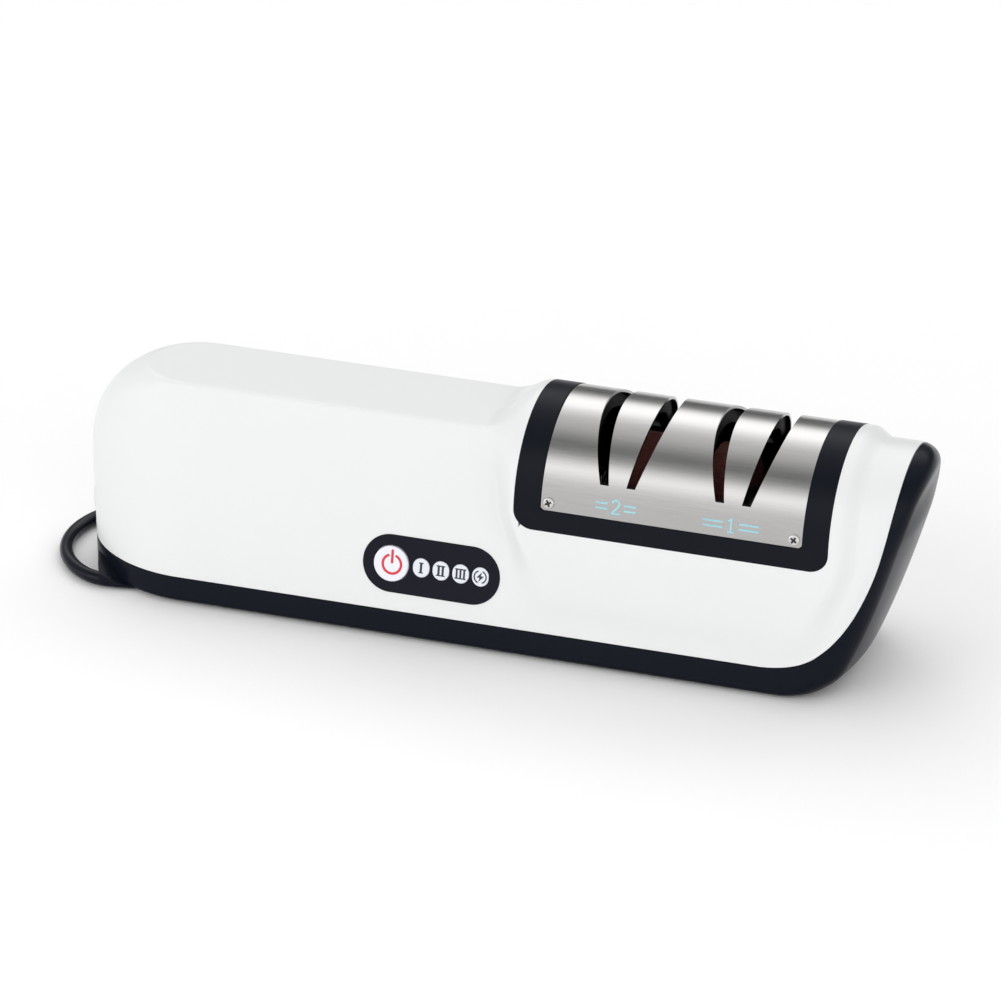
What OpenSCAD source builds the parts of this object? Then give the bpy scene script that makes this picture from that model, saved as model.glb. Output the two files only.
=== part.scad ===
// Cordless two-stage electric knife sharpener, millimetres.
// +X runs towards the slanted nose, -Y is the front with the control panel, +Z is up.
// The origin is on the table, below the middle of the object.

/* [Body] */
// Half width of the body at its bottom edge
base_half_w = 30.4; // [28:0.1:33]
// Half width of the flat top
top_half_w = 15.2; // [13:0.1:18]
// Height of the flat top above the table
top_z = 66.3; // [62:0.1:70]
// Wall thickness of the casings
wall = 2.2; // [1.6:0.1:3]
// Height of the line where the white housing meets the black base
split_z = 8.8; // [7.5:0.1:10]
// How far the left end leans in at the flat top
end_in = 18.7; // [16:0.1:21]

/* [Arch] */
// Radius of the steel slot cover
cover_r = 28.3; // [27.9:0.1:28.4]
// Height of the wheel axis and of the arch centre
axis_z = 46; // [45.5:0.1:46.5]
// Left end of the bezel
bezel_x0 = 17.2; // [16.5:0.1:18]
// Right end of the bezel
bezel_x1 = 112.4; // [111.5:0.1:113]
// Lower edge of the bezel above the table
bezel_z = 42; // [41:0.1:43]
// Left end of the steel cover
cover_x0 = 25.75; // [25:0.05:26.5]
// Right end of the steel cover
cover_x1 = 104.25; // [103.5:0.05:105]
// Thickness of the steel cover
cover_t = 0.8; // [0.6:0.05:1]

/* [Slots] */
// Centre between the two fine slots
fine_x = 48.15; // [47:0.05:49]
// Centre between the two coarse slots
coarse_x = 82.85; // [82:0.05:84]
// Distance of each slot from its pair's centre, at the slot's bottom
slot_off = 3.95; // [3.6:0.05:4.3]
// Height of the slot bottoms
slot_z = 58.5; // [57:0.1:60]
// Slot width at the bottom
slot_w = 2.6; // [2.4:0.1:3]
// Lean of the slots, sideways over upwards
slot_lean = 0.265; // [0.2:0.005:0.3]
// Extra slot width for each millimetre upwards
slot_flare = 0.15; // [0.1:0.01:0.16]

/* [Wheels] */
// Radius of the abrasive wheels
wheel_r = 17.5; // [15:0.1:18]
// Width of the abrasive wheels
wheel_w = 10.8; // [9:0.1:11.5]
// Radius of the wheel shaft
shaft_r = 2.5; // [2.4:0.05:2.6]
// Radius of the motor can
motor_r = 13.8; // [12:0.1:13.9]

/* [Panel] */
// Length of the control panel
panel_l = 42.7; // [42:0.1:44]
// Height of the control panel
panel_h = 17.6; // [17:0.1:18.4]
// Middle of the panel along the body
panel_x = -9; // [-10:0.1:-8]
// Middle of the panel above the table
panel_z = 22.6; // [22:0.1:23]
// Radius of the power button
button_r = 5.4; // [5:0.1:5.5]

/* [Loop] */
// Radius of the loop's rod
loop_rod_r = 2.1; // [1.8:0.1:2.1]
// Radius of the loop's centre line
loop_r = 28.6; // [28:0.1:29]

/* [Hidden] */
$fn = 48;

foot_z = 1;                      // underside of the base above the table
end_x = -125.78;                 // left end of the body
slope = (base_half_w - top_half_w) / (top_z - foot_z);
phi = atan(slope);               // lean of the front face
fine_c = fine_x + 0.85;          // middle of the fine wheel
coarse_c = coarse_x - 7.8;       // middle of the coarse wheel
hub_w = wheel_w + 2;
loop_cx = -106.4;
loop_z = foot_z + 2.1;
white = "#F1F2F1";
black = "#1C2028";
metal = "#B9BABB";

// ---- the body as a stack of plan outlines ----
function half_w(z) = base_half_w - slope * (z - foot_z);
function left_t(z) = min(1, max(0, (z - 36) / (top_z - 36)));
function left_x(z) = end_x + end_in * (1 - sqrt(1 - pow(0.956 * left_t(z), 2))) / (1 - sqrt(1 - 0.956 * 0.956))
    + 1.2 * (1 - min(1, z / 36));
function left_l(z) = 35.4 - 18.9 * pow(left_t(z), 1.5);
function left_p(z) = 1.85 + 0.15 * left_t(z);
function nose_x(z) = 113.27 + 22.57 * pow(max(0, (z - foot_z) / (top_z - foot_z)), 0.753);
nose_r = 6.5;                    // rounding of the nose's two upright corners
function sgn(v) = v < 0 ? -1 : 1;
// one outline, inset by t, from the back of the left end round the front to the nose
function outline(z, t, nl, nr) = concat(
    [for (i = [0:nl]) let (a = 90 + 180 * i / nl, c = abs(cos(a)), s = sin(a))
        [left_x(z) + left_l(z) - (left_l(z) - t) * pow(c, 2 / left_p(z)),
         (half_w(z) - t) * sgn(s) * pow(abs(s), 2 / left_p(z)), z]],
    [for (i = [0:nr]) let (a = -90 + 180 * i / nr, k = a < 0 ? -1 : a > 0 ? 1 : 0)
        [nose_x(z) - nose_r + (nose_r - t) * cos(a), k * (half_w(z) - nose_r) + (nose_r - t) * sin(a), z]]);

// stack of outlines as one closed skin: zs holds [height, inset]
module stack(zs, nl, nr) {
    n = nl + nr + 2;
    m = len(zs);
    pts = concat([for (s = zs) each outline(s[0], s[1], nl, nr)],
        [[0, 0, zs[0][0]], [0, 0, zs[m - 1][0]]]);
    faces = concat(
        [for (k = [0:m - 2]) for (i = [0:n - 1]) let (a = k * n + i, b = k * n + (i + 1) % n) [a, a + n, b]],
        [for (k = [0:m - 2]) for (i = [0:n - 1]) let (a = k * n + i, b = k * n + (i + 1) % n) [b, a + n, b + n]],
        [for (i = [0:n - 1]) [m * n, i, (i + 1) % n]],
        [for (i = [0:n - 1]) [m * n + 1, (m - 1) * n + (i + 1) % n, (m - 1) * n + i]]);
    polyhedron(points = pts, faces = faces, convexity = 4);
}

// inverted U across the body: a half circle on two nearly upright legs, from x0 to x1
module arch(x0, x1, r, leg_z, spread = 0) {
    translate([x0, 0, 0]) rotate([90, 0, 90]) linear_extrude(x1 - x0) arch_2d(r, leg_z, spread);
}
module arch_2d(r, leg_z, spread = 0, f = 96) {
    union() {
        intersection() {
            translate([0, axis_z]) circle(r, $fn = f);
            translate([-r - 1, axis_z]) square([2 * r + 2, r + 2]);
        }
        polygon([[-r, axis_z], [-r - spread, leg_z], [r + spread, leg_z], [r, axis_z]]);
    }
}

// rounded back between the arch and the nose, inset by t: rings of one inverted U, the last ones
// drawn in and moved towards the slanted nose so that its edge is round
tail_r = 25.8;
function tail_profile(r, z0) = concat([[-r, z0]], [for (i = [0:24]) let (a = 180 - 7.5 * i) [r * cos(a), axis_z + r * sin(a)]], [[r, z0]]);
module tail(t, x0, z0) {
    q = nose_r - t;
    rings = concat([tail_profile(tail_r - t, z0)],
        [for (k = [0:5]) tail_profile(tail_r - t - q * (1 - cos(18 * k)), z0)]);
    n = len(rings[0]);
    pts = concat([for (p = rings[0]) [x0, p[0], p[1]]],
        [for (k = [0:5]) each [for (p = rings[k + 1]) [nose_x(p[1]) - t - q * (1 - sin(18 * k)), p[0], p[1]]]]);
    m = len(rings);
    faces = concat(
        [for (k = [0:m - 2]) for (i = [0:n - 1]) let (a = k * n + i, b = k * n + (i + 1) % n) [a, b, a + n]],
        [for (k = [0:m - 2]) for (i = [0:n - 1]) let (a = k * n + i, b = k * n + (i + 1) % n) [b, b + n, a + n]],
        [[for (i = [n - 1:-1:0]) i]],
        [for (i = [0:(n - 5) / 2]) let (o = (m - 1) * n) [o + i, o + i + 1, o + n - 2 - i]],
        [for (i = [0:(n - 3) / 2]) let (o = (m - 1) * n) [o + i, o + n - 2 - i, o + n - 1 - i]]);
    polyhedron(points = pts, faces = faces, convexity = 4);
}
module hump_outer() {
    arch(14, 114.5, 28, split_z - 1, 0.2);
    // shoulders that run down to the flat top
    hull() {
        translate([13.9, 0, 0]) rotate([90, 0, 90]) linear_extrude(0.2) arch_2d(28, split_z - 1, 0.2, 40);
        translate([5, 0, 0]) rotate([90, 0, 90]) linear_extrude(0.2) arch_2d(19.9, split_z + 6, 6, 40);
    }
    hull() {
        translate([114.4, 0, 0]) rotate([90, 0, 90]) linear_extrude(0.2) arch_2d(28, split_z + 1.5, 0.2, 40);
        translate([119, 0, 0]) rotate([90, 0, 90]) linear_extrude(0.2) arch_2d(tail_r - 0.1, split_z + 12, 0, 40);
    }
}
module hump_inner() arch(16.4, 112.6, 25.7, split_z - 3, 0);

module body_outer() stack([[foot_z, 1.2], [foot_z + 0.5, 0.35], [foot_z + 1.5, 0], [9, 0], [16, 0], [26, 0],
    [39.3, 0], [46, 0], [51, 0], [55.5, 0], [59, 0], [62, 0], [64.2, 0], [65.6, 0], [top_z, 0.5]], 20, 14);
module body_inner() stack([[foot_z + wall, wall], [16, wall], [30, wall], [42, wall],
    [50, wall + 0.2], [56, wall + 0.6], [60, wall + 1.1], [top_z - wall, wall + 2]], 14, 10);

// side view of the black part: a band that sweeps up the nose
function split_x(z) = nose_x(z) - 3.6 - 12.3 * exp(-(z - 9.5) / 9) - 0.0032 * pow(max(0, z - 38), 2);
module black_side() {
    rotate([90, 0, 0]) linear_extrude(100, center = true)
        polygon(concat([[-150, -5], [-150, split_z - 0.3], [-90, split_z - 0.3], [90, split_z]],
            [for (z = [9.4, 10.4, 12, 14.5, 18, 23, 30, 38, 46, 54, 61, 68]) [split_x(z), z]],
            [[split_x(68) + 0.4, 90], [160, 90], [160, -5]]));
}

// ---- places on the leaning front face ----
module on_front(x = 0, z = panel_z) {
    translate([x, -half_w(z), z]) rotate([90 - phi, 0, 0]) children();
}
module stadium(l, h, t) {
    linear_extrude(t) union() {
        for (s = [-1, 1]) translate([s * (l - h) / 2, 0]) circle(h / 2, $fn = 64);
        square([l - h, h], center = true);
    }
}
lens_xs = [-3.08, 3.05, 9.19, 15.33];
button_dx = -12.36;
module lens_2d(c = 0) union() {
    for (s = [-1, 1]) translate([0, s * 0.3]) circle(2.6 + c, $fn = 40);
    square([5.2 + 2 * c, 0.6], center = true);
}
board_posts = [[-17.5, 9.3], [17.5, 9.3], [-17.5, -9.3], [17.5, -9.3]];
foot_pos = [[-84, -19], [-84, 19], [84, -19], [84, 19]];
boss_pos = [[-113, 0], [-34, -18.5], [-34, 18.5], [97, -17.5], [97, 17.5]];
cover_screw_x = [28.1, 101.9];
cover_screw_a = 11;              // elevation of the cover screws round the arch

module knife_slot(x, dir, c = 0) {
    h = 30;
    rotate([90, 0, 0]) linear_extrude(90, center = true)
        polygon([[x - slot_w / 2 - c, slot_z - c], [x + slot_w / 2 + c, slot_z - c],
            [x + dir * slot_lean * h + (slot_w + slot_flare * h) / 2 + c, slot_z + h],
            [x + dir * slot_lean * h - (slot_w + slot_flare * h) / 2 - c, slot_z + h]]);
}
module knife_slots(c = 0) {
    for (p = [fine_x, coarse_x]) for (d = [-1, 1]) knife_slot(p + d * slot_off, d, c);
}
// round outline seen from the front, used to cut the bezel and the cover
module front_view(x0, x1, z0, r) {
    rotate([90, 0, 0]) linear_extrude(90, center = true) union() {
        translate([x0 + r, z0]) square([x1 - x0 - 2 * r, 50]);
        translate([x0, z0 + r]) square([x1 - x0, 50]);
        for (x = [x0 + r, x1 - r]) translate([x, z0 + r]) circle(r, $fn = 48);
    }
}
// round outline on one side only, s = -1 for the front
module at_cover_screws() {
    for (x = cover_screw_x) for (s = [-1, 1])
        translate([x, 0, axis_z]) rotate([s < 0 ? -cover_screw_a : 180 + cover_screw_a, 0, 0]) rotate([90, 0, 0])
            translate([0, 0, cover_r]) children();
}

// ---- casings ----
module upper_housing() {
    color(white) difference() {
        union() {
            difference() {
                union() { body_outer(); hump_outer(); tail(0, 110, 20); }
                union() {
                    difference() {
                        union() { body_inner(); hump_inner(); tail(wall, 112, 18); }
                        // posts that carry the board
                        on_front(panel_x) for (p = board_posts) translate([p[0], p[1], -7.95]) cylinder(r = 1.9, h = 8, $fn = 24);
                    }
                }
                black_side();
            }
            // screw bosses that stand on the base's bosses
            for (p = boss_pos) translate([p[0], p[1], split_z]) {
                cylinder(r = 3, h = p[1] == 0 ? 7 : 12);
                if (p[1] == 0) translate([-11, -1, 0]) cube([9, 2, 5.5]);
                else translate([-1, p[1] > 0 ? 2 : -2 - (p[0] > 0 ? 7.5 : 5.8), 0]) cube([2, p[0] > 0 ? 7.5 : 5.8, 9.5]);
            }
        }
        for (p = boss_pos) translate([p[0], p[1], split_z - 1]) cylinder(r = 1.2, h = 6.6, $fn = 24);
        // window for the bezel
        front_view(bezel_x0 - 0.15, bezel_x1 + 0.15, bezel_z - 0.15, 6.1);
        // recess and window for the control panel
        on_front(panel_x) {
            translate([0, 0, -1.3]) stadium(panel_l + 0.3, panel_h + 0.3, 6);
            translate([0, 0, -4]) stadium(panel_l - 3, panel_h - 3, 6);
            for (p = board_posts) translate([p[0], p[1], -8.5]) cylinder(r = 0.8, h = 5, $fn = 24);
        }
        // mouth of the charging socket
        translate([end_x - 3, 0, 18]) rotate([90, 0, 90]) stadium(9.4, 3.8, 8);
    }
}

// the edge where the loop's rod comes in lies on a ray from the loop's centre
module ear_2d() polygon([[-119.27, -22.48], [-121.81, -26.9], [-118.5, -27.6], [-113, -27.9], [-107, -27.7], [-101, -27.2],
    [-107, -19.5], [-118, -9], [-122.9, -9.5]]);
module base_tray() {
    color(black) difference() {
        union() {
            difference() {
                intersection() { union() { body_outer(); tail(0, 110, 20); } black_side(); }
                body_inner();
                tail(wall, 112, 18);
            }
            // ears that carry the loop
            difference() {
                for (s = [0, 1]) mirror([0, s, 0]) translate([0, 0, foot_z]) linear_extrude(4.2) ear_2d();
                body_inner();
            }
            for (p = boss_pos) translate([p[0], p[1], foot_z + 0.5]) cylinder(r = 3.4, h = split_z - foot_z - 0.5);
        }
        for (p = boss_pos) translate([p[0], p[1], -1]) {
            cylinder(r = 1.5, h = 20, $fn = 24);
            cylinder(r = 2.8, h = 4.6, $fn = 32);
        }
        for (p = foot_pos) translate([p[0], p[1], 0]) cylinder(r = 5.1, h = foot_z + 0.7);
        // the loop's pins
        for (s = [-1, 1]) translate([-121.2, s * 25.1, loop_z]) rotate([0, 90, s * 7]) cylinder(r = 1.5, h = 9, $fn = 24);
    }
}

module hanging_loop() {
    color(black) {
        translate([loop_cx, 0, loop_z]) rotate([0, 0, 120]) rotate_extrude(angle = 120, $fn = 120)
            translate([loop_r, 0]) circle(loop_rod_r, $fn = 24);
        for (s = [-1, 1]) translate([-121.4, s * 25.1, loop_z]) rotate([0, 90, s * 7]) cylinder(r = 1.45, h = 8, $fn = 24);
    }
}

module guide_bezel() {
    color(black) difference() {
        union() {
            intersection() {
                difference() {
                    arch(bezel_x0, bezel_x1, 28.5, bezel_z);
                    arch(bezel_x0 - 1, bezel_x1 + 1, 25.6, bezel_z - 1);
                }
                front_view(bezel_x0, bezel_x1, bezel_z, 6);
            }
            // lip behind the edge of the housing's window
            difference() {
                arch(bezel_x0 - 0.65, bezel_x1 + 0.15, 25.64, 38.5);
                arch(bezel_x0 - 2, bezel_x1 + 2, 24.3, 30);
                translate([30.7, -40, bezel_z - 0.2]) cube([68.6, 80, 60]);
            }
            // bosses behind the cover screws
            at_cover_screws() translate([0, 0, -6.6]) cylinder(r = 2.3, h = 4.4, $fn = 32);
        }
        // seat of the steel cover, and the window for the blade guide
        intersection() {
            difference() {
                arch(cover_x0 - 0.15, cover_x1 + 0.15, 30, 44);
                arch(cover_x0 - 2, cover_x1 + 2, cover_r - cover_t, 40);
            }
            front_view(cover_x0 - 0.15, cover_x1 + 0.15, 49, 1);
        }
        front_view(31.4, 98.6, 54.5, 2);
        at_cover_screws() translate([0, 0, -9]) cylinder(r = 0.9, h = 12, $fn = 24);
    }
}

module blade_guide() {
    color("#15171B") difference() {
        union() {
            difference() {
                union() {
                    arch(30.9, 99.1, 25.5, bezel_z);
                    intersection() {
                        arch(31.6, 98.4, 27.4, 40);
                        front_view(31.6, 98.4, 54.7, 1.8);
                    }
                }
                arch(32.4, 97.6, 23.4, 30);
            }
        }
        // wider than the cover's slots, so that the wheels show over their full width
        knife_slots(1.6);
        // the shaft comes in from below
        translate([20, -6.5, 30]) cube([90, 13, axis_z - 30]);
        translate([20, 0, axis_z]) rotate([0, 90, 0]) cylinder(r = 6.5, h = 90);
        // room for the screw bosses of the bezel
        at_cover_screws() translate([0, 0, -8]) cylinder(r = 3.4, h = 9, $fn = 32);
    }
}

module slot_cover() {
    color(metal) difference() {
        intersection() {
            difference() {
                arch(cover_x0, cover_x1, cover_r, 44);
                arch(cover_x0 - 1, cover_x1 + 1, cover_r - cover_t + 0.02, 43);
            }
            front_view(cover_x0, cover_x1, 49.15, 0.9);
        }
        knife_slots();
        at_cover_screws() translate([0, 0, -4]) cylinder(r = 1.0, h = 8, $fn = 24);
    }
}

module cover_screws() {
    color(metal) at_cover_screws() difference() {
        union() {
            translate([0, 0, 0.02]) cylinder(r1 = 1.75, r2 = 1.35, h = 0.9, $fn = 32);
            translate([0, 0, -6]) cylinder(r = 0.85, h = 6.1, $fn = 24);
        }
        for (a = [0, 90]) rotate([0, 0, a]) translate([-1, -0.18, 0.4]) cube([2, 0.36, 1]);
    }
}

module rubber_feet() {
    color("#2A2C2E") for (p = foot_pos) translate([p[0], p[1], 0]) {
        cylinder(r1 = 4.6, r2 = 5, h = 0.5);
        translate([0, 0, 0.5]) cylinder(r = 5, h = foot_z + 0.2);
    }
}

module housing_screws() {
    color(metal) for (p = boss_pos) translate([p[0], p[1], 0]) difference() {
        union() {
            translate([0, 0, 2]) cylinder(r = 2.5, h = 1.6, $fn = 32);
            translate([0, 0, 2]) cylinder(r = 1.15, h = 12, $fn = 24);
        }
        for (a = [0, 90]) rotate([0, 0, a]) translate([-1.6, -0.3, 1]) cube([3.2, 0.6, 1.9]);
    }
}

// ---- panel ----
module control_panel() {
    color(black) on_front(panel_x) difference() {
        translate([0, 0, -1.3]) stadium(panel_l, panel_h, 1.55);
        translate([button_dx, 0, -5]) cylinder(r = button_r + 0.32, h = 9, $fn = 64);
        for (x = lens_xs) translate([x, 0, -5]) linear_extrude(9) lens_2d(0.06);
    }
}
module power_button() {
    color("#F4F4F6") on_front(panel_x) translate([button_dx, 0, 0]) {
        translate([0, 0, -2.2]) cylinder(r = button_r, h = 2.7, $fn = 64);
        translate([0, 0, 0.5]) cylinder(r1 = button_r, r2 = button_r - 0.4, h = 0.4, $fn = 64);
        translate([0, 0, -2.3]) cylinder(r = button_r + 0.8, h = 0.6, $fn = 64);
        translate([0, 0, -5.2]) cylinder(r = 2, h = 3, $fn = 32);
    }
}
module indicator_lenses() {
    color("#F4F4F6") on_front(panel_x) for (x = lens_xs) translate([x, 0, 0]) {
        translate([0, 0, -2.4]) linear_extrude(2.75) lens_2d(0);
        translate([0, 0, -5.6]) cylinder(r = 1.4, h = 3.3, $fn = 24);
    }
}
module control_board() {
    color("#1F6B42") on_front(panel_x) difference() {
        translate([-20, -11, -9.2]) cube([40, 22, 1.2]);
        for (p = board_posts) translate([p[0], p[1], -10]) cylinder(r = 1.1, h = 3, $fn = 24);
    }
}
module board_screws() {
    color(metal) on_front(panel_x) for (p = board_posts) translate([p[0], p[1], 0]) {
        translate([0, 0, -10.2]) cylinder(r = 1.6, h = 1, $fn = 24);
        translate([0, 0, -10.2]) cylinder(r = 0.75, h = 5.5, $fn = 24);
    }
}
module tact_switch() {
    color("#303236") on_front(panel_x) translate([button_dx, 0, 0]) difference() {
        translate([-3, -3, -8]) cube([6, 6, 2.1]);
        translate([0, 0, -7.5]) cylinder(r = 1.95, h = 3, $fn = 32);
    }
}
module switch_plunger() {
    color("#C8C4B8") on_front(panel_x) translate([button_dx, 0, -6.7]) cylinder(r = 1.6, h = 1.5, $fn = 32);
}
module indicator_leds() {
    color("#E8E4C0") on_front(panel_x) for (x = lens_xs) translate([x - 1, -0.6, -8]) cube([2, 1.2, 1.1]);
}
module charge_socket() {
    color(metal) translate([-124.4, 0, 18]) rotate([90, 0, 90]) difference() {
        stadium(8.9, 3.3, 7.4);
        translate([0, 0, -1]) difference() {
            stadium(8.3, 2.7, 7.6);
            translate([-3.2, -0.35, 0]) cube([6.4, 0.7, 8]);
        }
    }
}

// ---- power ----
cell_x0 = -106;
module battery_cells() {
    color("#3E6FA8") for (s = [-1, 1]) translate([cell_x0, s * 9.6, 13.8]) rotate([0, 90, 0]) {
        cylinder(r = 9.1, h = 64.4, $fn = 64);
        translate([0, 0, 64.4]) cylinder(r = 3.2, h = 0.9, $fn = 32);
    }
}
module battery_tabs() {
    color(metal) {
        translate([cell_x0 - 0.35, -13.6, 10.8]) cube([0.3, 27.2, 6]);
        for (s = [-1, 1]) translate([cell_x0 + 65.35, s * 9.6 - 3.5, 10.8]) cube([0.3, 7, 6]);
    }
}
module battery_cradle() {
    color("#26282B") difference() {
        translate([cell_x0 - 3, -20.4, foot_z + wall + 0.05]) cube([71, 40.8, 7]);
        for (s = [-1, 1]) translate([cell_x0 - 1, s * 9.6, 13.8]) rotate([0, 90, 0]) cylinder(r = 9.25, h = 67, $fn = 64);
        // corners trimmed to clear the rounded end of the base
        for (s = [-1, 1]) translate([cell_x0 - 3, s * 20.4, 0]) rotate([0, 0, 45]) cube([7, 7, 30], center = true);
        // room for the base's feet recesses and screw bosses
        for (s = [-1, 1]) translate([-34, s * 18.5, 0]) cylinder(r = 4, h = 20);
    }
}

// ---- motor, on the wheel axis ----
mx0 = -52; mx1 = -14;
module along(x0, x1, r, f = 64) translate([x0, 0, axis_z]) rotate([0, 90, 0]) cylinder(r = r, h = x1 - x0, $fn = f);
module motor_can() {
    color("#A9ABAD") difference() {
        union() { along(mx0, mx1, motor_r); along(mx1 - 1, mx1 + 2.2, 5); }
        along(mx0 - 1, mx1 - 1.2, motor_r - 1);
        along(mx1 - 3, mx1 + 4, 3.5);
        for (s = [-1, 1]) translate([mx1 - 4, s * 8.5, axis_z]) rotate([0, 90, 0]) cylinder(r = 1.25, h = 8, $fn = 24);
    }
}
module motor_end_cap() {
    color("#E9E6DC") difference() {
        union() { along(mx0 - 2.5, mx0, motor_r - 0.1); along(mx0, mx0 + 2, motor_r - 1.1); along(mx0 - 4.5, mx0 - 2, 5); }
        along(mx0 - 3.5, mx0 + 3, 3);
        along(mx0, mx0 + 3, 8.2);
        for (s = [-1, 1]) translate([mx0 - 4, s * 7 - 0.5, axis_z - 1.7]) cube([8, 1, 3.4]);
    }
}
module motor_magnets() {
    color("#3A3B3D") for (s = [0, 1]) mirror([0, 0, 0]) difference() {
        along(-46, -20, motor_r - 1.05);
        along(-47, -19, 10.7);
        // each magnet is an arc above or below the armature
        translate([-50, -20, s == 0 ? axis_z - 20 : axis_z - 4.5]) cube([40, 40, 24.5]);
    }
}
module motor_bushes() {
    color("#B08A4A") {
        difference() { along(mx1 - 1.1, mx1 + 2.2, 3.5, 48); along(mx1 - 3, mx1 + 4, 1.64, 48); }
        difference() { along(mx0 - 3.4, mx0, 3, 48); along(mx0 - 5, mx0 + 4, 1.64, 48); }
    }
}
module motor_brushes() {
    color("#B87B3C") for (s = [-1, 1]) translate([0, s * 7, axis_z]) {
        translate([mx0 - 6.5, -0.4, -1.6]) cube([10, 0.8, 3.2]);
        translate([mx0 + 2.2, s > 0 ? -3.6 : -0.4, -1.3]) cube([2.4, 4, 2.6]);
    }
}
module armature_core() {
    color("#8C8E90") difference() {
        union() {
            along(-43, -24, 3.6, 48);
            for (a = [90, 210, 330]) translate([-43, 0, axis_z]) rotate([a, 0, 0]) {
                translate([0, -2, 0]) cube([19, 4, 8.6]);
                difference() {
                    rotate([0, 90, 0]) cylinder(r = 10.1, h = 19, $fn = 72);
                    translate([-1, 0, 0]) rotate([0, 90, 0]) cylinder(r = 8.3, h = 21, $fn = 72);
                    for (m = [-1, 1]) translate([-1, 0, 0]) rotate([m * 50, 0, 0]) translate([0, m < 0 ? 0 : -12, -12]) cube([21, 12, 24]);
                    translate([-1, -12, -12.5]) cube([21, 24, 12.5]);
                }
            }
        }
        along(-50, -20, 1.6, 48);
    }
}
module armature_windings() {
    color("#B5651D") for (a = [90, 210, 330]) translate([-43, 0, axis_z]) rotate([a, 0, 0]) difference() {
        translate([-2, -4.1, 4.6]) cube([23, 8.2, 2.6]);
        translate([-0.05, -2.05, 3]) cube([19.1, 4.1, 8]);
        for (m = [-1, 1]) translate([-3, m * 4.1, 4.6]) rotate([45, 0, 0]) cube([60, 1.6, 1.6], center = true);
    }
}
module commutator() {
    color("#B87333") difference() {
        along(-50.3, -46, 3.05, 48);
        along(-52, -44, 1.6, 48);
        for (a = [0, 120, 240]) translate([-51, 0, axis_z]) rotate([a, 0, 0]) translate([0, -0.2, 2.2]) cube([6, 0.4, 3]);
    }
}
module motor_shaft() { color(metal) along(-55, 1, 1.6, 48); }
module motor_bracket() {
    color("#26282B") difference() {
        union() {
            along(mx1 + 0.05, mx1 + 3, 15);
            translate([mx1 + 0.05, -12, foot_z + wall]) cube([2.95, 24, axis_z - foot_z - wall]);
            translate([mx1 + 0.05, -12, foot_z + wall]) cube([12, 24, 2.5]);
            for (s = [-1, 1]) translate([mx1 + 2, s * 10.75 - 1.25, foot_z + wall]) rotate([90, 0, 0]) mirror([0, 0, 1])
                linear_extrude(2.5) polygon([[0, 0], [9, 0], [0, 22]]);
        }
        along(mx1 - 1, mx1 + 4, 5.1, 48);
        for (s = [-1, 1]) translate([mx1 - 4, s * 8.5, axis_z]) rotate([0, 90, 0]) cylinder(r = 1.4, h = 8, $fn = 24);
    }
}
module motor_screws() {
    color(metal) for (s = [-1, 1]) translate([0, s * 8.5, axis_z]) difference() {
        union() {
            translate([mx1 + 3.02, 0, 0]) rotate([0, 90, 0]) cylinder(r = 2.2, h = 1.5, $fn = 32);
            translate([mx1 - 3, 0, 0]) rotate([0, 90, 0]) cylinder(r = 1.2, h = 6.5, $fn = 24);
        }
        for (a = [0, 90]) rotate([a, 0, 0]) translate([mx1 + 4, -0.3, -1.4]) cube([1, 0.6, 2.8]);
    }
}

// ---- spindle ----
module shaft_coupling() {
    color("#9DA0A3") difference() {
        along(-7, 9, 6);
        along(-8, 1.5, 1.6, 48);
        along(1.5, 10, shaft_r, 48);
        for (x = [-3.5, 5.5]) translate([x, 0, axis_z]) cylinder(r = 1.25, h = 8, $fn = 24);
    }
}
module coupling_screws() {
    color("#55585B") for (p = [[-3.5, 1.62], [5.5, shaft_r + 0.02]]) translate([p[0], 0, axis_z + p[1]])
        difference() {
            cylinder(r = 1.23, h = 5.8 - p[1], $fn = 24);
            translate([0, 0, 4.4 - p[1]]) cylinder(r = 0.6, h = 3, $fn = 6);
        }
}
module wheel_shaft() { color(metal) along(1.6, 112, shaft_r, 64); }
module shaft_bushes() {
    color("#B08A4A") for (x = [14, 103.5]) difference() { along(x, x + 8, 5, 64); along(x - 1, x + 9, shaft_r + 0.04, 64); }
}
module bearing_posts() {
    color("#26282B") for (x = [15, 104.5]) difference() {
        union() {
            along(x, x + 6, 8.5);
            translate([x, -8.5, foot_z + wall]) cube([6, 17, axis_z - foot_z - wall]);
            translate([x - 1.5, -12, foot_z + wall]) cube([9, 24, 2.5]);
        }
        along(x - 1, x + 7, 5, 64);
        translate([x - 1, -4.5, 12]) cube([8, 9, 20]);
    }
}
module hub(c) {
    difference() {
        union() { along(c - hub_w / 2, c + hub_w / 2, 6); }
        along(c - 10, c + 10, shaft_r + 0.04, 64);
    }
}
module fine_hub() { color("#D9D4C6") hub(fine_c); }
module coarse_hub() { color("#D9D4C6") hub(coarse_c); }
// abrasive wheel with slanted edges at the rim
module wheel(c) {
    translate([c, 0, axis_z]) rotate([0, 90, 0]) rotate_extrude($fn = 120)
        polygon([[6, -wheel_w / 2], [wheel_r - 2, -wheel_w / 2], [wheel_r, -wheel_w / 2 + 1.2],
            [wheel_r, wheel_w / 2 - 1.2], [wheel_r - 2, wheel_w / 2], [6, wheel_w / 2]]);
}
module fine_wheel() { color("#6E2B22") wheel(fine_c); }
module coarse_wheel() { color("#5C231C") wheel(coarse_c); }
module spacer_sleeve() {
    color(metal) difference() {
        along(fine_c + hub_w / 2, coarse_c - hub_w / 2, 4.2, 48);
        along(fine_c, coarse_c, shaft_r + 0.02, 64);
    }
}
module spring_collars() {
    color(metal) for (x = [33.2, 94.6]) difference() { along(x, x + 2.2, 5.2, 48); along(x - 1, x + 4, shaft_r, 64); }
}
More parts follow.
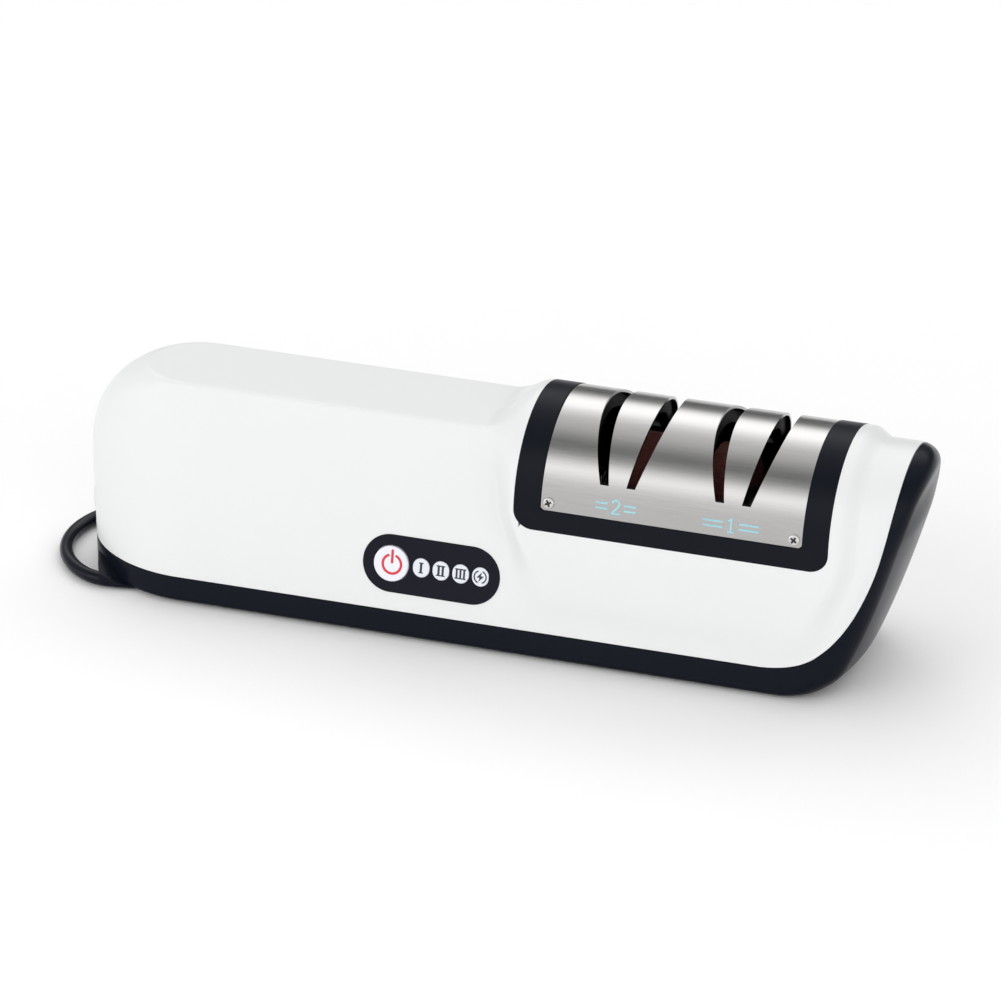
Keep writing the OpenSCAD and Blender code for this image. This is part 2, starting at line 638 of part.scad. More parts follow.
// compression spring round the shaft
module spring(x0, x1, turns, r, w) {
    ring = 12; sides = 8; n = turns * ring;
    pts = [for (i = [0:n]) let (a = 360 * i / ring, x = x0 + w + (x1 - x0 - 2 * w) * i / n)
        for (k = [0:sides - 1]) let (b = 360 * k / sides, rr = r + w * cos(b))
            [x + w * sin(b), rr * cos(a), axis_z + rr * sin(a)]];
    polyhedron(points = pts, convexity = 6, faces = concat(
        [for (i = [0:n - 1]) for (k = [0:sides - 1]) [i * sides + k, i * sides + (k + 1) % sides, (i + 1) * sides + (k + 1) % sides]],
        [for (i = [0:n - 1]) for (k = [0:sides - 1]) [i * sides + k, (i + 1) * sides + (k + 1) % sides, (i + 1) * sides + k]],
        [[for (k = [sides - 1:-1:0]) k]], [[for (k = [0:sides - 1]) n * sides + k]]));
}
module fine_spring() { color("#A8AAAC") spring(35.5, fine_c - hub_w / 2 - 0.05, 4, 3.7, 0.4); }
module coarse_spring() { color("#A8AAAC") spring(coarse_c + hub_w / 2 + 0.05, 94.5, 6, 3.7, 0.4); }

// ---- wires: hand-picked route points, joined by a smooth curve ----
routes = [
    [[-40.1, 9.6, 13.8], [-35, 8, 14], [-28, 0, 15], [-24, -9, 15.2], [-22, -16.8, 15]],
    [[-40.1, -9.6, 13.8], [-36, -10, 14], [-31, -12, 15.2], [-27, -16.8, 15]],
    [[-59, -7, 46], [-62, -8, 42], [-60, -13, 33], [-45, -14.5, 25], [-30, -13, 21.5], [-17, -15.8, 19.8]],
    [[-59, 7, 46], [-63, 8, 42], [-62, 4, 33], [-45, -5, 27], [-27, -11, 26], [-15, -14.8, 24]],
    [[-116.6, 0, 18], [-113, 2, 20.5], [-104, 3, 25], [-75, 1, 25.5], [-40, -2, 25], [-27, -8, 22], [-19, -13, 20], [-5, -15.8, 19.8]]];
function cr(p, i, t) = let (a = p[max(0, i - 1)], b = p[i], c = p[i + 1], d = p[min(len(p) - 1, i + 2)])
    0.5 * (2 * b + (c - a) * t + (2 * a - 5 * b + 4 * c - d) * t * t + (3 * b - a - 3 * c + d) * t * t * t);
function unit(v) = v / norm(v);
module tube(p, r) {
    sides = 8; per = 4; n = (len(p) - 1) * per;
    c = [for (i = [0:n]) let (k = min(len(p) - 2, floor(i / per))) cr(p, k, (i - k * per) / per)];
    pts = [for (i = [0:n]) let (t = unit(c[min(n, i + 1)] - c[max(0, i - 1)]),
            u = unit(cross(t, abs(t[2]) > 0.9 ? [1, 0, 0] : [0, 0, 1])), v = cross(t, u))
        for (k = [0:sides - 1]) c[i] + r * (cos(360 * k / sides) * u + sin(360 * k / sides) * v)];
    polyhedron(points = pts, convexity = 6, faces = concat(
        [for (i = [0:n - 1]) for (k = [0:sides - 1]) [i * sides + k, (i + 1) * sides + (k + 1) % sides, i * sides + (k + 1) % sides]],
        [for (i = [0:n - 1]) for (k = [0:sides - 1]) [i * sides + k, (i + 1) * sides + k, (i + 1) * sides + (k + 1) % sides]],
        [[for (k = [0:sides - 1]) k]], [[for (k = [sides - 1:-1:0]) n * sides + k]]));
}
module wire_leads() { color("#A33A32") for (p = routes) tube(p, 0.7); }

upper_housing();
base_tray();
hanging_loop();
guide_bezel();
blade_guide();
slot_cover();
cover_screws();
control_panel();
power_button();
indicator_lenses();
rubber_feet();
housing_screws();
charge_socket();
control_board();
board_screws();
tact_switch();
switch_plunger();
indicator_leds();
battery_cells();
battery_tabs();
battery_cradle();
motor_can();
motor_end_cap();
motor_magnets();
motor_bushes();
motor_brushes();
armature_core();
armature_windings();
commutator();
motor_shaft();
motor_bracket();
motor_screws();
shaft_coupling();
coupling_screws();
wheel_shaft();
shaft_bushes();
bearing_posts();
fine_hub();
fine_wheel();
coarse_hub();
coarse_wheel();
spacer_sleeve();
fine_spring();
coarse_spring();
spring_collars();
wire_leads();
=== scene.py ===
"""Looks of a cordless knife sharpener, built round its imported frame. Lengths are millimetres until a mesh is made."""

import math

import bpy
import numpy as np
from mathutils import Matrix, Vector, geometry


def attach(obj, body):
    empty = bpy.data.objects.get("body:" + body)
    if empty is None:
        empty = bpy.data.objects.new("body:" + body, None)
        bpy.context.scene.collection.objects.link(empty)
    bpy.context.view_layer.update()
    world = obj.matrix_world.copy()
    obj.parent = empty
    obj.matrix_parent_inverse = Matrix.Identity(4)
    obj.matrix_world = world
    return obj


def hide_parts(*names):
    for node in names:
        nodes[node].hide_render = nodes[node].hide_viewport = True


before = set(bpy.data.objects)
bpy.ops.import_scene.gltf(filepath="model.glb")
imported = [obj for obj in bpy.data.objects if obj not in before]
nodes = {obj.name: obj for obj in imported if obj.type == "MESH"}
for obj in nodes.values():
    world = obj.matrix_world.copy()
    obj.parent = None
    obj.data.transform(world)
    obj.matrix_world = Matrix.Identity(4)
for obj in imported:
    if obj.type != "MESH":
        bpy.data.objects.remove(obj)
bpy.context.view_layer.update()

# ------------------------------------------------------------------ numbers shared with the frame
FOOT_Z, TOP_Z, AXIS_Z = 1.0, 66.3, 46.0
SLOPE = (30.4 - 15.2) / (TOP_Z - FOOT_Z)
PHI = math.atan(SLOPE)
CP, SP = math.cos(PHI), math.sin(PHI)
PANEL = np.array([-9.0, -(30.4 - SLOPE * (22.6 - FOOT_Z)), 22.6])
BOSSES = [(-113, 0), (-34, -18.5), (-34, 18.5), (97, -17.5), (97, 17.5)]


# ------------------------------------------------------------------ materials
def new_mat(name):
    m = bpy.data.materials.new(name)
    m.use_nodes = True
    t = m.node_tree
    t.nodes.clear()
    out = t.nodes.new("ShaderNodeOutputMaterial")
    b = t.nodes.new("ShaderNodeBsdfPrincipled")
    t.links.new(b.outputs["BSDF"], out.inputs["Surface"])
    return m, t, b


def coords(t, scale=(1, 1, 1), rotation=(0, 0, 0)):
    c = t.nodes.new("ShaderNodeTexCoord")
    m = t.nodes.new("ShaderNodeMapping")
    m.inputs["Scale"].default_value = scale
    m.inputs["Rotation"].default_value = rotation
    t.links.new(c.outputs["Object"], m.inputs["Vector"])
    return m.outputs["Vector"]


def noise(t, vec, scale, detail=3.0, rough=0.55):
    n = t.nodes.new("ShaderNodeTexNoise")
    n.inputs["Scale"].default_value = scale
    n.inputs["Detail"].default_value = detail
    n.inputs["Roughness"].default_value = rough
    t.links.new(vec, n.inputs["Vector"])
    return n.outputs["Fac"]


def remap(t, fac, a, b, lo, hi):
    r = t.nodes.new("ShaderNodeMapRange")
    r.inputs["From Min"].default_value = a
    r.inputs["From Max"].default_value = b
    r.inputs["To Min"].default_value = lo
    r.inputs["To Max"].default_value = hi
    t.links.new(fac, r.inputs["Value"])
    return r.outputs["Result"]


def ramp(t, fac, stops):
    r = t.nodes.new("ShaderNodeValToRGB")
    e = r.color_ramp.elements
    while len(e) < len(stops):
        e.new(0.5)
    for k, (pos, col) in zip(e, stops):
        k.position = pos
        k.color = (*col, 1)
    t.links.new(fac, r.inputs["Fac"])
    return r.outputs["Color"]


def bump(t, b, height, strength, distance):
    n = t.nodes.new("ShaderNodeBump")
    n.inputs["Strength"].default_value = strength
    n.inputs["Distance"].default_value = distance
    t.links.new(height, n.inputs["Height"])
    t.links.new(n.outputs["Normal"], b.inputs["Normal"])


def shade(c, k):
    return tuple(max(0.0, min(1.0, v * k)) for v in c)


def plastic(name, color, rough, var=0.03, grain=900.0, strength=0.03, coat=0.0, spec=0.5):
    """Moulded plastic: faint cloudiness in the colour, uneven gloss and a fine moulded grain."""
    m, t, b = new_mat(name)
    v = coords(t)
    big = noise(t, v, 35.0, 2.0)
    t.links.new(ramp(t, big, [(0.15, shade(color, 1 - var)), (0.85, shade(color, 1 + var))]), b.inputs["Base Color"])
    t.links.new(remap(t, noise(t, v, 160.0, 3.0), 0.1, 0.9, rough * 0.9, rough * 1.1), b.inputs["Roughness"])
    bump(t, b, noise(t, v, grain, 3.0), strength, 0.00005)
    b.inputs["Coat Weight"].default_value = coat
    b.inputs["Coat Roughness"].default_value = 0.08
    b.inputs["Specular IOR Level"].default_value = spec
    return m


def metal(name, color, rough, stretch=(1, 1, 1), scale=900.0, strength=0.05, var=0.06, aniso=0.0):
    """Metal with fine machining or rolling marks along the axis whose stretch is small."""
    m, t, b = new_mat(name)
    v = coords(t, stretch)
    n = noise(t, v, scale, 4.0, 0.6)
    t.links.new(ramp(t, n, [(0.3, shade(color, 1 - var)), (0.7, shade(color, 1 + var))]), b.inputs["Base Color"])
    t.links.new(remap(t, n, 0.3, 0.7, rough * 0.85, rough * 1.15), b.inputs["Roughness"])
    b.inputs["Metallic"].default_value = 1.0
    b.inputs["Anisotropic"].default_value = aniso
    bump(t, b, n, strength, 0.00003)
    return m


def grit(name, dark, light, scale=2600.0):
    """Bonded abrasive: coarse grains in a darker bond."""
    m, t, b = new_mat(name)
    v = coords(t)
    vo = t.nodes.new("ShaderNodeTexVoronoi")
    vo.inputs["Scale"].default_value = scale
    t.links.new(v, vo.inputs["Vector"])
    t.links.new(ramp(t, vo.outputs["Distance"], [(0.1, light), (0.6, dark)]), b.inputs["Base Color"])
    t.links.new(remap(t, noise(t, v, 400.0), 0.3, 0.7, 0.72, 0.95), b.inputs["Roughness"])
    bump(t, b, vo.outputs["Distance"], 0.6, 0.0001)
    return m


M = {}
M["white"] = plastic("white_gloss", (0.765, 0.772, 0.775), 0.34, 0.006, 260.0, 0.01, 0.0, 0.3)
M["black"] = plastic("blueblack_gloss", (0.0055, 0.0072, 0.0125), 0.24, 0.06, 700.0, 0.012, 0.0, 0.075)
M["bezel"] = plastic("blueblack_satin", (0.0055, 0.007, 0.0115), 0.34, 0.06, 1500.0, 0.02, 0.0, 0.09)
M["guide"] = plastic("guide_black", (0.003, 0.0032, 0.004), 0.5, 0.15, 1800.0, 0.08, 0.0, 0.1)
M["panel"] = plastic("panel_black", (0.0085, 0.0085, 0.0155), 0.35, 0.06, 1200.0, 0.02, 0.0, 0.1)
M["button"] = plastic("button_white", (0.80, 0.80, 0.86), 0.28, 0.01, 900.0, 0.02)
M["lens"] = plastic("lens_white", (0.74, 0.76, 0.82), 0.3, 0.015, 900.0, 0.02)
M["red"] = plastic("ink_red", (0.62, 0.035, 0.045), 0.4, 0.08, 1800.0, 0.05)
# dark print on the lenses; the same dark colour is also painted into the screws' cross recesses as painted shade
M["ink"] = plastic("ink_dark", (0.02, 0.024, 0.034), 0.45, 0.1, 1800.0, 0.05)
M["mark"] = plastic("mark_teal", (0.30, 0.60, 0.68), 0.5, 0.12, 3000.0, 0.1)
M["rubber"] = plastic("rubber_dark", (0.022, 0.022, 0.024), 0.75, 0.12, 1600.0, 0.3)
M["screw"] = metal("plated_screw", (0.62, 0.61, 0.60), 0.3, scale=1500.0)
M["board"] = plastic("board_green", (0.01, 0.11, 0.045), 0.35, 0.15, 1200.0, 0.1)
M["switch"] = plastic("switch_black", (0.02, 0.02, 0.022), 0.5, 0.1, 1500.0, 0.1)
M["led"] = plastic("led_clear", (0.7, 0.68, 0.5), 0.2, 0.05)
M["wrap"] = plastic("cell_wrap", (0.03, 0.11, 0.3), 0.32, 0.08, 500.0, 0.06)
M["nickel"] = metal("nickel_strip", (0.6, 0.58, 0.54), 0.32, (1, 1, 1), 900.0)
M["inner"] = plastic("inner_plastic", (0.03, 0.031, 0.034), 0.55, 0.1, 1500.0, 0.15)
M["can"] = metal("zinc_can", (0.5, 0.51, 0.52), 0.35, (1, 0.1, 0.1), 1200.0)
M["ivory"] = plastic("ivory_plastic", (0.62, 0.58, 0.48), 0.45, 0.06, 1500.0, 0.08)
M["magnet"] = grit("magnet_dark", (0.03, 0.03, 0.033), (0.06, 0.06, 0.065), 1800.0)
M["bronze"] = metal("sintered_bronze", (0.5, 0.3, 0.12), 0.45, (1, 1, 1), 2500.0, 0.15, 0.15)
M["copper"] = metal("copper_wire", (0.62, 0.25, 0.1), 0.35, (4, 1, 1), 1600.0, 0.3, 0.2)
M["core"] = metal("stacked_sheet", (0.42, 0.43, 0.44), 0.4, (6, 0.4, 0.4), 800.0, 0.3, 0.2)
M["shaft"] = metal("ground_steel", (0.55, 0.55, 0.56), 0.22, (6, 0.3, 0.3), 700.0, 0.08)
M["spring"] = metal("spring_wire", (0.5, 0.5, 0.51), 0.3, scale=1600.0)
M["oxide"] = metal("black_oxide", (0.035, 0.035, 0.037), 0.45, scale=1600.0)
M["hub"] = plastic("nylon_hub", (0.012, 0.012, 0.013), 0.5, 0.1, 1500.0, 0.08, 0.0, 0.2)
M["loop"] = plastic("loop_gloss", (0.005, 0.0066, 0.0115), 0.13, 0.06, 700.0, 0.01, 0.0, 0.12)
M["wire"] = plastic("wire_red", (0.45, 0.02, 0.015), 0.4, 0.08, 1500.0, 0.08)
M["fine"] = grit("abrasive_fine", (0.07, 0.012, 0.009), (0.2, 0.034, 0.027), 3200.0)
M["coarse"] = grit("abrasive_coarse", (0.065, 0.011, 0.008), (0.2, 0.032, 0.024), 1900.0)


def brushed_cover():
    """Stainless sheet: long hair lines along X with uneven gloss."""
    m, t, b = new_mat("brushed_cover")
    hair = noise(t, coords(t, (0.02, 1, 1)), 4200.0, 5.0, 0.65)
    t.links.new(ramp(t, hair, [(0.25, (0.42, 0.415, 0.41)), (0.75, (0.47, 0.465, 0.458))]), b.inputs["Base Color"])
    t.links.new(remap(t, hair, 0.2, 0.8, 0.17, 0.27), b.inputs["Roughness"])
    b.inputs["Metallic"].default_value = 1.0
    bump(t, b, hair, 0.05, 0.00002)
    return m


M["cover"] = brushed_cover()


# ------------------------------------------------------------------ mesh helpers
class Patch:
    """Collects surfaces with their own normals and makes one mesh of them."""

    def __init__(self):
        self.v, self.n, self.f, self.m, self.count = [], [], [], [], 0

    def add(self, v, n, faces, mat=0):
        v = np.asarray(v, float).reshape(-1, 3)
        n = np.asarray(n, float).reshape(-1, 3)
        faces = [tuple(int(i) + self.count for i in f) for f in faces]
        self.v.append(v)
        self.n.append(n)
        self.f += faces
        self.m += [mat] * len(faces)
        self.count += len(v)

    def grid(self, p, n, closed=False, flip=False, keep=None, mat=0):
        """p and n are (rows, columns, 3). closed joins the last row to the first. keep(centres) says which faces stay."""
        rows, cols = p.shape[:2]
        i = np.arange(rows if closed else rows - 1)
        j = np.arange(cols - 1)
        ii, jj = [a.ravel() for a in np.meshgrid(i, j, indexing="ij")]
        i2 = (ii + 1) % rows
        q = np.stack([ii * cols + jj, i2 * cols + jj, i2 * cols + jj + 1, ii * cols + jj + 1], -1)
        if flip:
            q = q[:, ::-1]
        if keep is not None:
            flat = p.reshape(-1, 3)
            q = q[keep(flat[q].mean(1))]
        self.add(p, n, q.tolist(), mat)

    def object(self, name, mats, body="casing", slot=None, replaces=(), merge=1e-4):
        v = np.concatenate(self.v)
        n = np.concatenate(self.n)
        n /= np.maximum(np.linalg.norm(n, axis=1, keepdims=True), 1e-9)
        key = np.concatenate([np.round(v / merge), np.round(n / 0.04)], 1).astype(np.int64)
        _, first, inverse = np.unique(key, axis=0, return_index=True, return_inverse=True)
        inverse = inverse.ravel()
        v, n = v[first], n[first]
        faces, mi = [], []
        quads = [k for k, f in enumerate(self.f) if len(f) == 4]
        q = inverse[np.array([self.f[k] for k in quads], int).reshape(-1, 4)]
        g = np.cross(v[q[:, 2]] - v[q[:, 0]], v[q[:, 3]] - v[q[:, 1]])
        wrong = np.sum(g * n[q].sum(1), 1) < 0
        q[wrong] = q[wrong][:, ::-1]
        same = np.sum(q == np.roll(q, 1, 1), 1) + (q[:, 0] == q[:, 2]) * 2 + (q[:, 1] == q[:, 3]) * 2
        qm = np.array([self.m[k] for k in quads])
        faces += q[same == 0].tolist()
        mi += qm[same == 0].tolist()
        rest = [(f, k) for f, k in zip(q[same == 1].tolist(), qm[same == 1])]
        rest += [(inverse[list(f)].tolist(), k) for f, k in zip(self.f, self.m) if len(f) != 4]
        for f, k in rest:
            h = [a for k2, a in enumerate(f) if a != f[k2 - 1]]
            if len(h) >= 3 and len(set(h)) == len(h):
                if len(f) != 4 and np.cross(v[h[1]] - v[h[0]], v[h[2]] - v[h[0]]) @ n[h].sum(0) < 0:
                    h = h[::-1]
                faces.append(h)
                mi.append(int(k))
        used = np.unique(np.concatenate([np.array(f) for f in faces]))
        back = -np.ones(len(v), int)
        back[used] = np.arange(len(used))
        faces = [back[f].tolist() for f in faces]
        v, n = v[used], n[used]
        me = bpy.data.meshes.new(name)
        me.from_pydata((v * 0.001).tolist(), [], faces)
        me.polygons.foreach_set("material_index", mi)
        me.polygons.foreach_set("use_smooth", [True] * len(faces))
        me.update()
        me.normals_split_custom_set_from_vertices(n.tolist())
        o = bpy.data.objects.new(name, me)
        bpy.context.collection.objects.link(o)
        for m in mats if isinstance(mats, (list, tuple)) else [mats]:
            me.materials.append(m)
        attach(o, body)
        if replaces:
            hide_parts(*replaces)
        return o


def unit(a):
    return a / np.maximum(np.linalg.norm(a, axis=-1, keepdims=True), 1e-9)


def smooth(a, b, x):
    t = np.clip((x - a) / (b - a), 0, 1)
    return t * t * (3 - 2 * t)


def loops(patch, rings, normals, closed=True, mat=0, flip=False):
    """Quads between rings of points that match one to one, each ring closed on itself."""
    p = np.stack(rings, 1)
    n = np.stack(normals, 1)
    patch.grid(p, n, closed=closed, mat=mat, flip=flip)


def fill(patch, outer, holes, place, normal, mat=0):
    """Flat face with holes. outer and holes are lists of 2-D points; place turns them into 3-D."""
    pts, edges, faces = [], [], []
    for ring in [outer] + list(holes):
        k = len(pts)
        pts += [Vector((float(a), float(b))) for a, b in ring]
        edges += [(k + i, k + (i + 1) % len(ring)) for i in range(len(ring))]
    v, _, f, *_ = geometry.delaunay_2d_cdt(pts, edges, faces, 1 if holes else 1, 1e-6)
    v2 = np.array([[p.x, p.y] for p in v])

    def inside(p, ring):
        r = np.asarray(ring)
        x, y = p
        c = False
        j = len(r) - 1
        for i in range(len(r)):
            if (r[i][1] > y) != (r[j][1] > y) and x < (r[j][0] - r[i][0]) * (y - r[i][1]) / (r[j][1] - r[i][1]) + r[i][0]:
                c = not c
            j = i
        return c
    keep = []
    for t in f:
        c = v2[list(t)].mean(0)
        if inside(c, outer) and not any(inside(c, h) for h in holes):
            keep.append(t)
    p3 = place(v2)
    nn = np.tile(np.asarray(normal, float), (len(p3), 1))
    a = keep[0]
    s = np.cross(p3[a[1]] - p3[a[0]], p3[a[2]] - p3[a[0]]) @ np.asarray(normal, float)
    patch.add(p3, nn, keep if s > 0 else [t[::-1] for t in keep], mat)


def circle2(cx, cy, r, n=64, ry=None):
    a = np.linspace(0, 2 * math.pi, n, endpoint=False)
    return np.stack([cx + r * np.cos(a), cy + (ry or r) * np.sin(a)], -1)


def stadium2(cx, cy, l, h, n=40):
    r = h / 2
    a = np.linspace(-math.pi / 2, math.pi / 2, n)
    right = np.stack([cx + (l - h) / 2 + r * np.cos(a), cy + r * np.sin(a)], -1)
    left = np.stack([cx - (l - h) / 2 - r * np.cos(a), cy - r * np.sin(a)], -1)
    return np.concatenate([right, left])


def lens2(cx, cy, r=2.6, dy=0.3, n=24):
    a = np.linspace(0, math.pi, n)
    top = np.stack([cx + r * np.cos(a), cy + dy + r * np.sin(a)], -1)
    return np.concatenate([top, np.stack([2 * cx - top[:, 0], 2 * cy - top[:, 1]], -1)])


def out2(ring):
    """Outward unit normals of a counter-clockwise ring."""
    d = np.roll(ring, -1, 0) - np.roll(ring, 1, 0)
    n = np.stack([d[:, 1], -d[:, 0]], -1)
    n = unit(n)
    area = np.sum(ring[:, 0] * np.roll(ring[:, 1], -1) - np.roll(ring[:, 0], -1) * ring[:, 1])
    return n if area > 0 else -n


def slab(patch, ring, top, bottom, edge, place, axes, mat=0, holes=(), hole_edge=0.12, cap=True, under=False):
    """Plate with a rounded upper edge: place(xy, z) gives 3-D, axes is (ex, ev, en)."""
    ex, ev, en = axes
    n2 = out2(ring)
    n3 = n2[:, :1] * ex + n2[:, 1:] * ev
    k = 6
    rings, normals = [place(ring, bottom)], [n3]
    for i in range(k + 1):
        a = math.pi / 2 * i / k
        rings.append(place(ring - n2 * edge * (1 - math.cos(a)), top - edge + edge * math.sin(a)))
        normals.append(n3 * math.cos(a) + en * math.sin(a))
    loops(patch, rings, normals, mat=mat)
    inner = []
    for h in holes:
        m2 = out2(h)
        m3 = -(m2[:, :1] * ex + m2[:, 1:] * ev)
        rings, normals = [place(h, bottom)], [m3]
        for i in range(4):
            a = math.pi / 2 * i / 3
            rings.append(place(h + m2 * hole_edge * (1 - math.cos(a)), top - hole_edge + hole_edge * math.sin(a)))
            normals.append(m3 * math.cos(a) + en * math.sin(a))
        loops(patch, rings, normals, mat=mat, flip=True)
        inner.append(h + m2 * hole_edge)
    if cap:
        fill(patch, ring - n2 * edge, inner, lambda q: place(q, top), en, mat)
    if under:
        fill(patch, ring, holes, lambda q: place(q, bottom), -en, mat)


# ------------------------------------------------------------------ the body as one implicit surface
def half_w(z):
    return 30.4 - SLOPE * (z - FOOT_Z)


def nose_x(z):
    return 113.27 + 22.57 * np.clip((z - FOOT_Z) / (TOP_Z - FOOT_Z), 0, 1.1) ** 0.753


def both(a, b, r):
    """The part common to two solids, with the edge between them rounded."""
    u = np.maximum(a + r, 0)
    v = np.maximum(b + r, 0)
    return np.minimum(np.maximum(a, b), -r) + np.sqrt(u * u + v * v)


def either(a, b, k):
    """Two solids as one, with a soft valley between them."""
    m = np.clip(0.5 + 0.5 * (a - b) / k, 0, 1)
    return a * (1 - m) + b * m - k * m * (1 - m)


def arch_f(y, z, r):
    return np.where(z > AXIS_Z, np.hypot(y, z - AXIS_Z), np.abs(y)) - r


def left_f(x, y, z):
    """Leaning faces with a flat top and a long rounded end."""
    k = np.clip((z - 36.0) / (TOP_Z - 36.0), 0, 1)
    t = 0.956 * np.clip((z - 36.0) / (TOP_Z - 36.0), 0, 1.02)
    xe = -125.78 + 18.73 * (1 - np.sqrt(1 - t * t)) / (1 - math.sqrt(1 - 0.956 ** 2)) + 1.2 * (1 - np.clip(z / 36.0, 0, 1))
    ln = 35.4 - 18.9 * k ** 1.5
    p = 1.85 + 0.15 * k
    w = half_w(z)
    u = np.clip((xe + ln - x) / ln, 0, None)
    v = np.abs(y) / w
    q = (u ** p + v ** p) ** (1 / p) + 1e-9
    g = np.sqrt(((u / q) ** (p - 1) / ln) ** 2 + ((v / q) ** (p - 1) / w) ** 2) + 1e-9
    return both((q - 1) / g * CP, z - TOP_Z, 1.0)


def right_f(x, y, z):
    """Round back that ends in the slanted nose, whose face is a little crowned."""
    sec = both((np.abs(y) - half_w(z)) * CP, z - TOP_Z, 6.0)
    wide = np.sqrt(25.78 ** 2 - np.clip(z - AXIS_Z, 0, 23.5) ** 2)
    low = 1 - smooth(50.0, 62.0, z)
    crown = 1.6 * low - (1.4 + 2.2 * low) * (y / wide) ** 2
    return both(either(sec, arch_f(y, z, 25.78), 3.0), (x - nose_x(z) - crown) * 0.955, 6.55)


def body_f(x, y, z):
    k = smooth(20.0, 100.0, x)
    f = left_f(x, y, z) * (1 - k) + right_f(x, y, z) * k
    return both(f, FOOT_Z - z, 1.9 + 5.6 * smooth(98, 112, x))


def surface_f(x, y, z):
    """Negative inside the body with its arch."""
    b = body_f(x, y, z)
    d = 1 - smooth(16.0, 48.0, z)
    s = smooth(9.0 + 3.7 * (1 - smooth(31.5, 46.0, z)) - 5.5 * smooth(46, 66, z), 17.0 + 11.0 * d, x)
    e = np.minimum(120.0, nose_x(z) - 9.6)
    s = s * (1 - smooth(e - 5.5 - 4.0 * d, e, x)) * smooth(7.0, 21.0, z)
    return b + s * (either(b, arch_f(y, z, 28.4), 2.0) - b)


def gradient(p, e=0.03):
    g = np.empty_like(p)
    for i in range(3):
        a, b = p.copy(), p.copy()
        a[..., i] += e
        b[..., i] -= e
        g[..., i] = surface_f(a[..., 0], a[..., 1], a[..., 2]) - surface_f(b[..., 0], b[..., 1], b[..., 2])
    return unit(g)


def split_x(z):
    return nose_x(z) - (3.6 + 12.3 * np.exp(-(z - 9.5) / 9) + 0.0032 * np.maximum(z - 38, 0) ** 2)


def split_g(p):
    """Positive where the surface is black: below the line of the base and along the nose."""
    x, z = p[..., 0], p[..., 2]
    a = 8.4 + (np.clip(x, -88, 130) + 88) / 175 * 0.6 - z
    b = (x - split_x(z)) / np.sqrt(1 + (1.37 * np.exp(-(np.clip(z, 8, 80) - 9.5) / 9) + 0.3) ** 2)
    return -either(-a, -b, 5.0)


MID_Z = 34.0


def cast(ox, psi, th):
    """Points where rays from the middle of the body leave it. All three arrays broadcast."""
    ox, psi, th = np.broadcast_arrays(ox, psi, th)
    dx, dy, dz = np.cos(th) * np.cos(psi), np.cos(th) * np.sin(psi), np.sin(th)
    lo = np.zeros(th.shape)
    hi = np.full(th.shape, 90.0)
    for _ in range(30):
        t = (lo + hi) / 2
        inside = surface_f(ox + t * dx, t * dy, MID_Z + t * dz) < 0
        lo = np.where(inside, t, lo)
        hi = np.where(inside, hi, t)
    t = (lo + hi) / 2
    return np.stack([ox + t * dx, t * dy, MID_Z + t * dz], -1)


XL, XR = -90.0, 100.0


def stations():
    """Profiles round the body: front side, nose, back side, left end."""
    x = [XL]
    while x[-1] < XR:
        s = 1.9
        if 2 < x[-1] < 19:
            s = 0.55
        x.append(min(XR, x[-1] + s))
    x = np.array(x)
    if x[-1] - x[-2] < 0.2:
        x = np.delete(x, -2)
    q = np.linspace(0, 1, 150)[1:-1]
    psi_r = np.radians(-90 + 180 * q)
    psi_l = np.radians(np.linspace(90, 270, 90)[1:-1])
    ox = np.concatenate([x, np.full(len(psi_r), XR), x[::-1], np.full(len(psi_l), XL)])
    ps = np.concatenate([np.full(len(x), -math.pi / 2), psi_r, np.full(len(x), math.pi / 2), psi_l])
    return ox, ps


def resample(ox, ps, a, b, count, ds=1.7, da=4.0):
    """Angles from a to b on every profile, closer together where the profile bends."""
    m = 260
    th = a[:, None] + (b - a)[:, None] * np.linspace(0, 1, m)[None]
    p = cast(ox[:, None], ps[:, None], th)
    n = gradient(p)
    d = np.linalg.norm(np.diff(p, axis=1), axis=-1)
    turn = np.degrees(np.arccos(np.clip(np.sum(n[:, 1:] * n[:, :-1], -1), -1, 1)))
    w = d / ds + np.minimum(turn, 30) / da
    k = np.ones(9) / 9
    w = np.apply_along_axis(lambda r: np.convolve(np.pad(r, 4, mode="edge"), k, "valid"), 1, w) + 0.02
    c = np.concatenate([np.zeros((len(ox), 1)), np.cumsum(w, 1)], 1)
    c /= c[:, -1:]
    s = np.linspace(0, 1, count)
    return np.stack([np.interp(s, c[i], th[i]) for i in range(len(ox))])


def split_angle(ox, ps):
    """The angle at which each profile crosses from black to white."""
    m = 200
    th = np.radians(np.linspace(-80, 89.5, m))
    g = split_g(cast(ox[:, None], ps[:, None], th[None]))
    i = np.argmax(g < 0, 1)
    lo, hi = th[np.maximum(i - 1, 0)], th[i]
    for _ in range(22):
        mid = (lo + hi) / 2
        black = split_g(cast(ox, ps, mid)) > 0
        lo = np.where(black, mid, lo)
        hi = np.where(black, hi, mid)
    return (lo + hi) / 2


